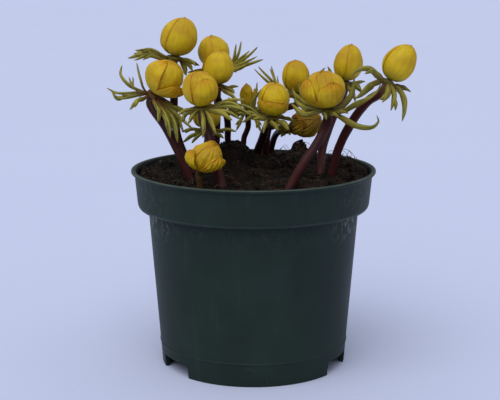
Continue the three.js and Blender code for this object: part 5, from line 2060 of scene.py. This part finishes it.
@dataclass
class Bloom:
    """One flower's bloom under construction: a bud of stamens and two layers of sepals, and loose ones."""

    flower: Flower
    skin: Skin = field(default_factory=Skin)
    fit: float = 0.975
    half_angle: float = 68.0
    edge: float = 0.04
    inner_layer: float = 0.9
    inner_shade: float = 0.25
    core_layer: float = 0.8
    thickness: float = 0.38
    flap_size: float = 1.12
    rows: int = 34
    columns: int = 25

    def egg(self, along: Array, angle: Array, layer: Array | float) -> Array:
        """Give points on the egg of the bud.

        Args:
            along: The share of the way from foot to tip.
            angle: The angle from the front towards the side, in radians.
            layer: How far out, as a share of the egg.

        Returns:
            The points, with the axes last.
        """
        flower, head = self.flower, self.flower.head()
        out = self.fit * flower.radius * layer * np.sin(np.pi * along) * (1 - flower.taper * (along - 0.45))
        up = self.fit * flower.height * (0.5 - 0.5 * np.cos(np.pi * along))
        drift = flower.radius * along * along
        return (
            head.base
            + head.side * (out * np.sin(angle) + drift * flower.nod[0])[..., None]
            + head.front * (out * np.cos(angle) + drift * flower.nod[1])[..., None]
            + head.axis * up[..., None]
        )

    def outward(self, angle: Array) -> Array:
        """Give the ways straight out from the bud's axis, at angles from the front towards the side."""
        head = self.flower.head()
        return unit(head.front * np.cos(angle)[..., None] + head.side * np.sin(angle)[..., None])

    def grid(self, power: float) -> tuple[Array, Array]:
        """Give the share from foot to tip and the place from -1 to 1 across at each point of a sepal.

        Args:
            power: 1 for even columns, less for closer ones towards the edges.

        Returns:
            Both grids, rows by columns.
        """
        share = np.sin(0.5 * np.pi * np.linspace(0.0, 1.0, self.rows)) ** 0.9
        across = np.linspace(-1.0, 1.0, self.columns)
        return tuple(np.meshgrid(share, np.sign(across) * np.abs(across) ** power, indexing="ij"))

    def width_share(self, share: Array) -> Array:
        """Give a sepal's width as a share of its widest, by the way from foot to tip."""
        low = 0.62 + 0.38 * np.sin(0.5 * np.pi * ramp(share, 0.0, 0.55))
        return low * np.sqrt(1 - ramp(share, 0.6, 1.0) ** 2.4)

    def crumpled(self, points: Array, seed: float) -> Array:
        """Give how far its folds and dents push each point of a sepal out, in millimetres."""
        folds = 0.9 * lumps(points, 6.0, 2, 5.3 + seed) + 0.32 * lumps(points, 2.2, 2, 9.1 + seed)
        return self.flower.crumple * folds

    def veined(self, across: Array, seed: float) -> Array:
        """Give a sepal's shallow ribs in millimetres, by the place from -1 to 1 across it."""
        ribs = 0.08 * np.sin(17 * across + seed) + 0.05 * np.sin(31 * across + 2.3 * seed)
        return self.flower.ribs * ribs

    def petal(self, outer: Array, across: Array, along: Array, tone: float, blush: float) -> None:
        """Close a grid of points into a sepal with a thin edge.

        Args:
            outer: The outer face's grid.
            across: The share across at each point.
            along: The share of the way along the bud at each point.
            tone: The seed of its colouring.
            blush: How much brown it has.
        """
        normal = unit(np.cross(np.gradient(outer, axis=1), np.gradient(outer, axis=0)))
        row = np.linspace(0.0, 1.0, len(outer))[:, None]
        rim = np.minimum(smooth(1 - np.abs(across), 0.0, 0.16), smooth(1 - row, 0.0, 0.06))
        rim = np.minimum(rim, smooth(row, 0.0, 0.04))
        inner = outer - normal * (self.thickness * (0.3 + 0.7 * rim))[..., None]
        self.skin.sheet(outer, inner, along=along, across=across, tone=tone, blush=blush)

    def sepal(self, direction: float, layer: float, number: int, shade: float) -> None:
        """Add one sepal that wraps the bud.

        Args:
            direction: Its middle, in degrees from the front towards the side.
            layer: How far out it lies.
            number: Its place among the flower's sepals.
            shade: How much browner than its neighbours it is, as painted shade for the inner sepals in the
                seams.
        """
        seed = 3.7 * number + 0.9 * int(self.flower.name)
        share, across = self.grid(0.85)
        along = 0.02 + (0.955 + 0.025 * draw(seed)) * share
        half = math.radians(self.half_angle) * self.width_share(share)
        half = half * (1 + 0.05 * np.sin(7 * share + seed))
        angle = math.radians(direction) + half * across
        lift = self.edge * across * smooth(along, 0.0, 0.3)
        curl = 0.03 * smooth(np.abs(across), 0.75, 1.0) * np.sin(5 * along + seed)
        outer = self.egg(along, angle, layer + lift + curl)
        calm = smooth(along, 0.02, 0.25) * (1 - 0.6 * smooth(along, 0.8, 1.0))
        push = (self.crumpled(outer, 0.0) + self.veined(across, seed)) * calm
        outer = outer + self.outward(angle) * push[..., None]
        tone = 10 * draw(seed + 0.4) + number
        self.petal(outer, across, along, tone, min(1.0, self.flower.stain + shade))

    def flap(self, flap: Flap, number: int) -> None:
        """Add one loose sepal that leans away from the bud.

        Args:
            flap: Its sizes.
            number: Its place among the flower's loose sepals.
        """
        flower, axis = self.flower, self.flower.head().axis
        seed = 5.1 * number + 1.3 * int(flower.name)
        share, across = self.grid(1.0)
        along = 0.04 + (flap.end - 0.02) * share
        round_tip = np.sqrt(1 - ramp(share, 0.3, 1.0) ** flap.squareness)
        half = math.radians(flap.half_angle) * round_tip * (0.9 + 0.06 * np.sin(9 * share + seed))
        angle = math.radians(flap.direction) + half * across
        outward = self.outward(angle)
        lean = flap.open * flower.radius * smooth(share, 0.1, 1.0)
        outer = self.egg(along, angle, self.flap_size)
        outer = outer + outward * lean[..., None] - axis * (0.25 * lean)[..., None]
        ragged = flower.crumple * 0.5 * smooth(share, 0.5, 1.0) * np.sin(13 * across + seed)
        push = self.crumpled(outer, 1.7) * smooth(share, 0.05, 0.4) + self.veined(across, seed)
        outer = outer + outward * (push - 0.2)[..., None] + axis * ragged[..., None]
        self.petal(outer, across, 0.25 + 0.75 * share, 10 * draw(seed + 0.4) + number, flower.stain)

    def core(self) -> None:
        """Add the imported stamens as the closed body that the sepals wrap."""
        along, angle = np.meshgrid(np.linspace(0.03, 0.93, 22), full_turn(36), indexing="ij")
        ribs = self.core_layer + 0.05 * np.sin(12 * angle + 3 * along)
        self.skin.tube(self.egg(along, angle, ribs), along=0.9, across=1.0, tone=3.0, blush=0.7)

    def grow(self) -> None:
        """Add the stamens, the three inner sepals, the three outer ones and the loose ones."""
        turn = self.flower.turn
        self.core()
        for number in range(3):
            self.sepal(turn + 60 + 120 * number, self.inner_layer, number + 3, self.inner_shade)
        for number in range(3):
            self.sepal(turn + 120 * number, 1.0, number, 0.0)
        for number, flap in enumerate(self.flower.flaps):
            self.flap(flap, number)


@dataclass
class Blooms:
    """The yellow blooms: three outer sepals wrapped round three inner ones, and loose ones over them."""

    finish: SepalFinish = SepalFinish()

    def build(self) -> None:
        """Make every bloom."""
        finish = self.finish.material()
        for flower in FLOWERS:
            bloom = Bloom(flower)
            bloom.grow()
            piece = bloom.skin.piece(f"bloom_{flower.name}_sepals", finish)
            settle(piece, Slot.SEPAL, f"bloom_{flower.name}")


# Studio


@dataclass
class Studio:
    """The pale floor, the soft lights and the camera at the photograph's angle."""

    finish: FloorFinish = FloorFinish()
    floor_reach: float = 9.0
    camera_place: Triple = (-0.00156, -0.55, 0.1853)
    camera_pitch: float = 11.415
    lens: float = 89.06
    sensor: float = 36.0
    sight: float = 60.0
    sky: Colour = (0.9, 0.93, 1.0)
    sky_strength: float = 0.78
    low_strength: float = 0.2
    sun_strength: float = 1.45
    sun_width: float = 60.0
    sun_turn: Triple = (34.0, -16.0, 0.0)
    sun_colour: Colour = (1.0, 0.985, 0.96)

    def floor(self) -> None:
        """Lay the floor."""
        mesh = bpy.data.meshes.new("pale_floor")
        corners = np.array([(-1, -1, 0), (1, -1, 0), (1, 1, 0), (-1, 1, 0)]) * self.floor_reach
        mesh.from_pydata(corners.tolist(), [], [(0, 1, 2, 3)])
        mesh.materials.append(self.finish.material())
        put_in_scene("pale_floor", mesh)

    def world(self) -> None:
        """Fill the room with light from the sky colour, brighter overhead than at the horizon."""
        world = bpy.data.worlds.new("studio_room")
        world.use_nodes = True
        room = Nodes(world.node_tree)
        direction = room.add("ShaderNodeTexCoord").outputs["Generated"]
        up = room.add("ShaderNodeSeparateXYZ", Vector=direction).outputs["Z"]
        strength = room.result(
            "ShaderNodeMapRange", Value=up, From_Max=0.7, To_Min=self.low_strength, To_Max=self.sky_strength
        )
        background = world.node_tree.nodes["Background"]
        room.feed(background.inputs["Color"], self.sky)
        room.feed(background.inputs["Strength"], strength)
        bpy.context.scene.world = world
        bpy.context.scene.view_settings.view_transform = "Standard"

    def lamp(self) -> None:
        """Hang one wide soft light."""
        light = bpy.data.lights.new("soft_key", "SUN")
        light.energy = self.sun_strength
        light.angle = math.radians(self.sun_width)
        light.color = self.sun_colour
        turn = tuple(math.radians(part) for part in self.sun_turn)
        put_in_scene("soft_key", light).rotation_euler = turn

    def camera(self) -> None:
        """Set the camera."""
        data = bpy.data.cameras.new("photo_view")
        data.sensor_fit = "HORIZONTAL"
        data.sensor_width = self.sensor
        data.lens = self.lens
        data.clip_end = self.sight
        camera = put_in_scene("photo_view", data)
        camera.location = self.camera_place
        camera.rotation_euler = (math.radians(90.0 - self.camera_pitch), 0.0, 0.0)
        bpy.context.scene.camera = camera

    def build(self) -> None:
        """Set up the whole studio."""
        self.camera()
        self.world()
        self.lamp()
        self.floor()


def main() -> None:
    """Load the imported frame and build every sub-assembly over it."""
    logging.basicConfig(level=logging.INFO, format="%(name)s: %(message)s", stream=sys.stdout)
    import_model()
    for assembly in (Studio, NurseryPot, Compost, Stems, Ruffs, Blooms):
        assembly().build()


if __name__ == "__main__":
    main()
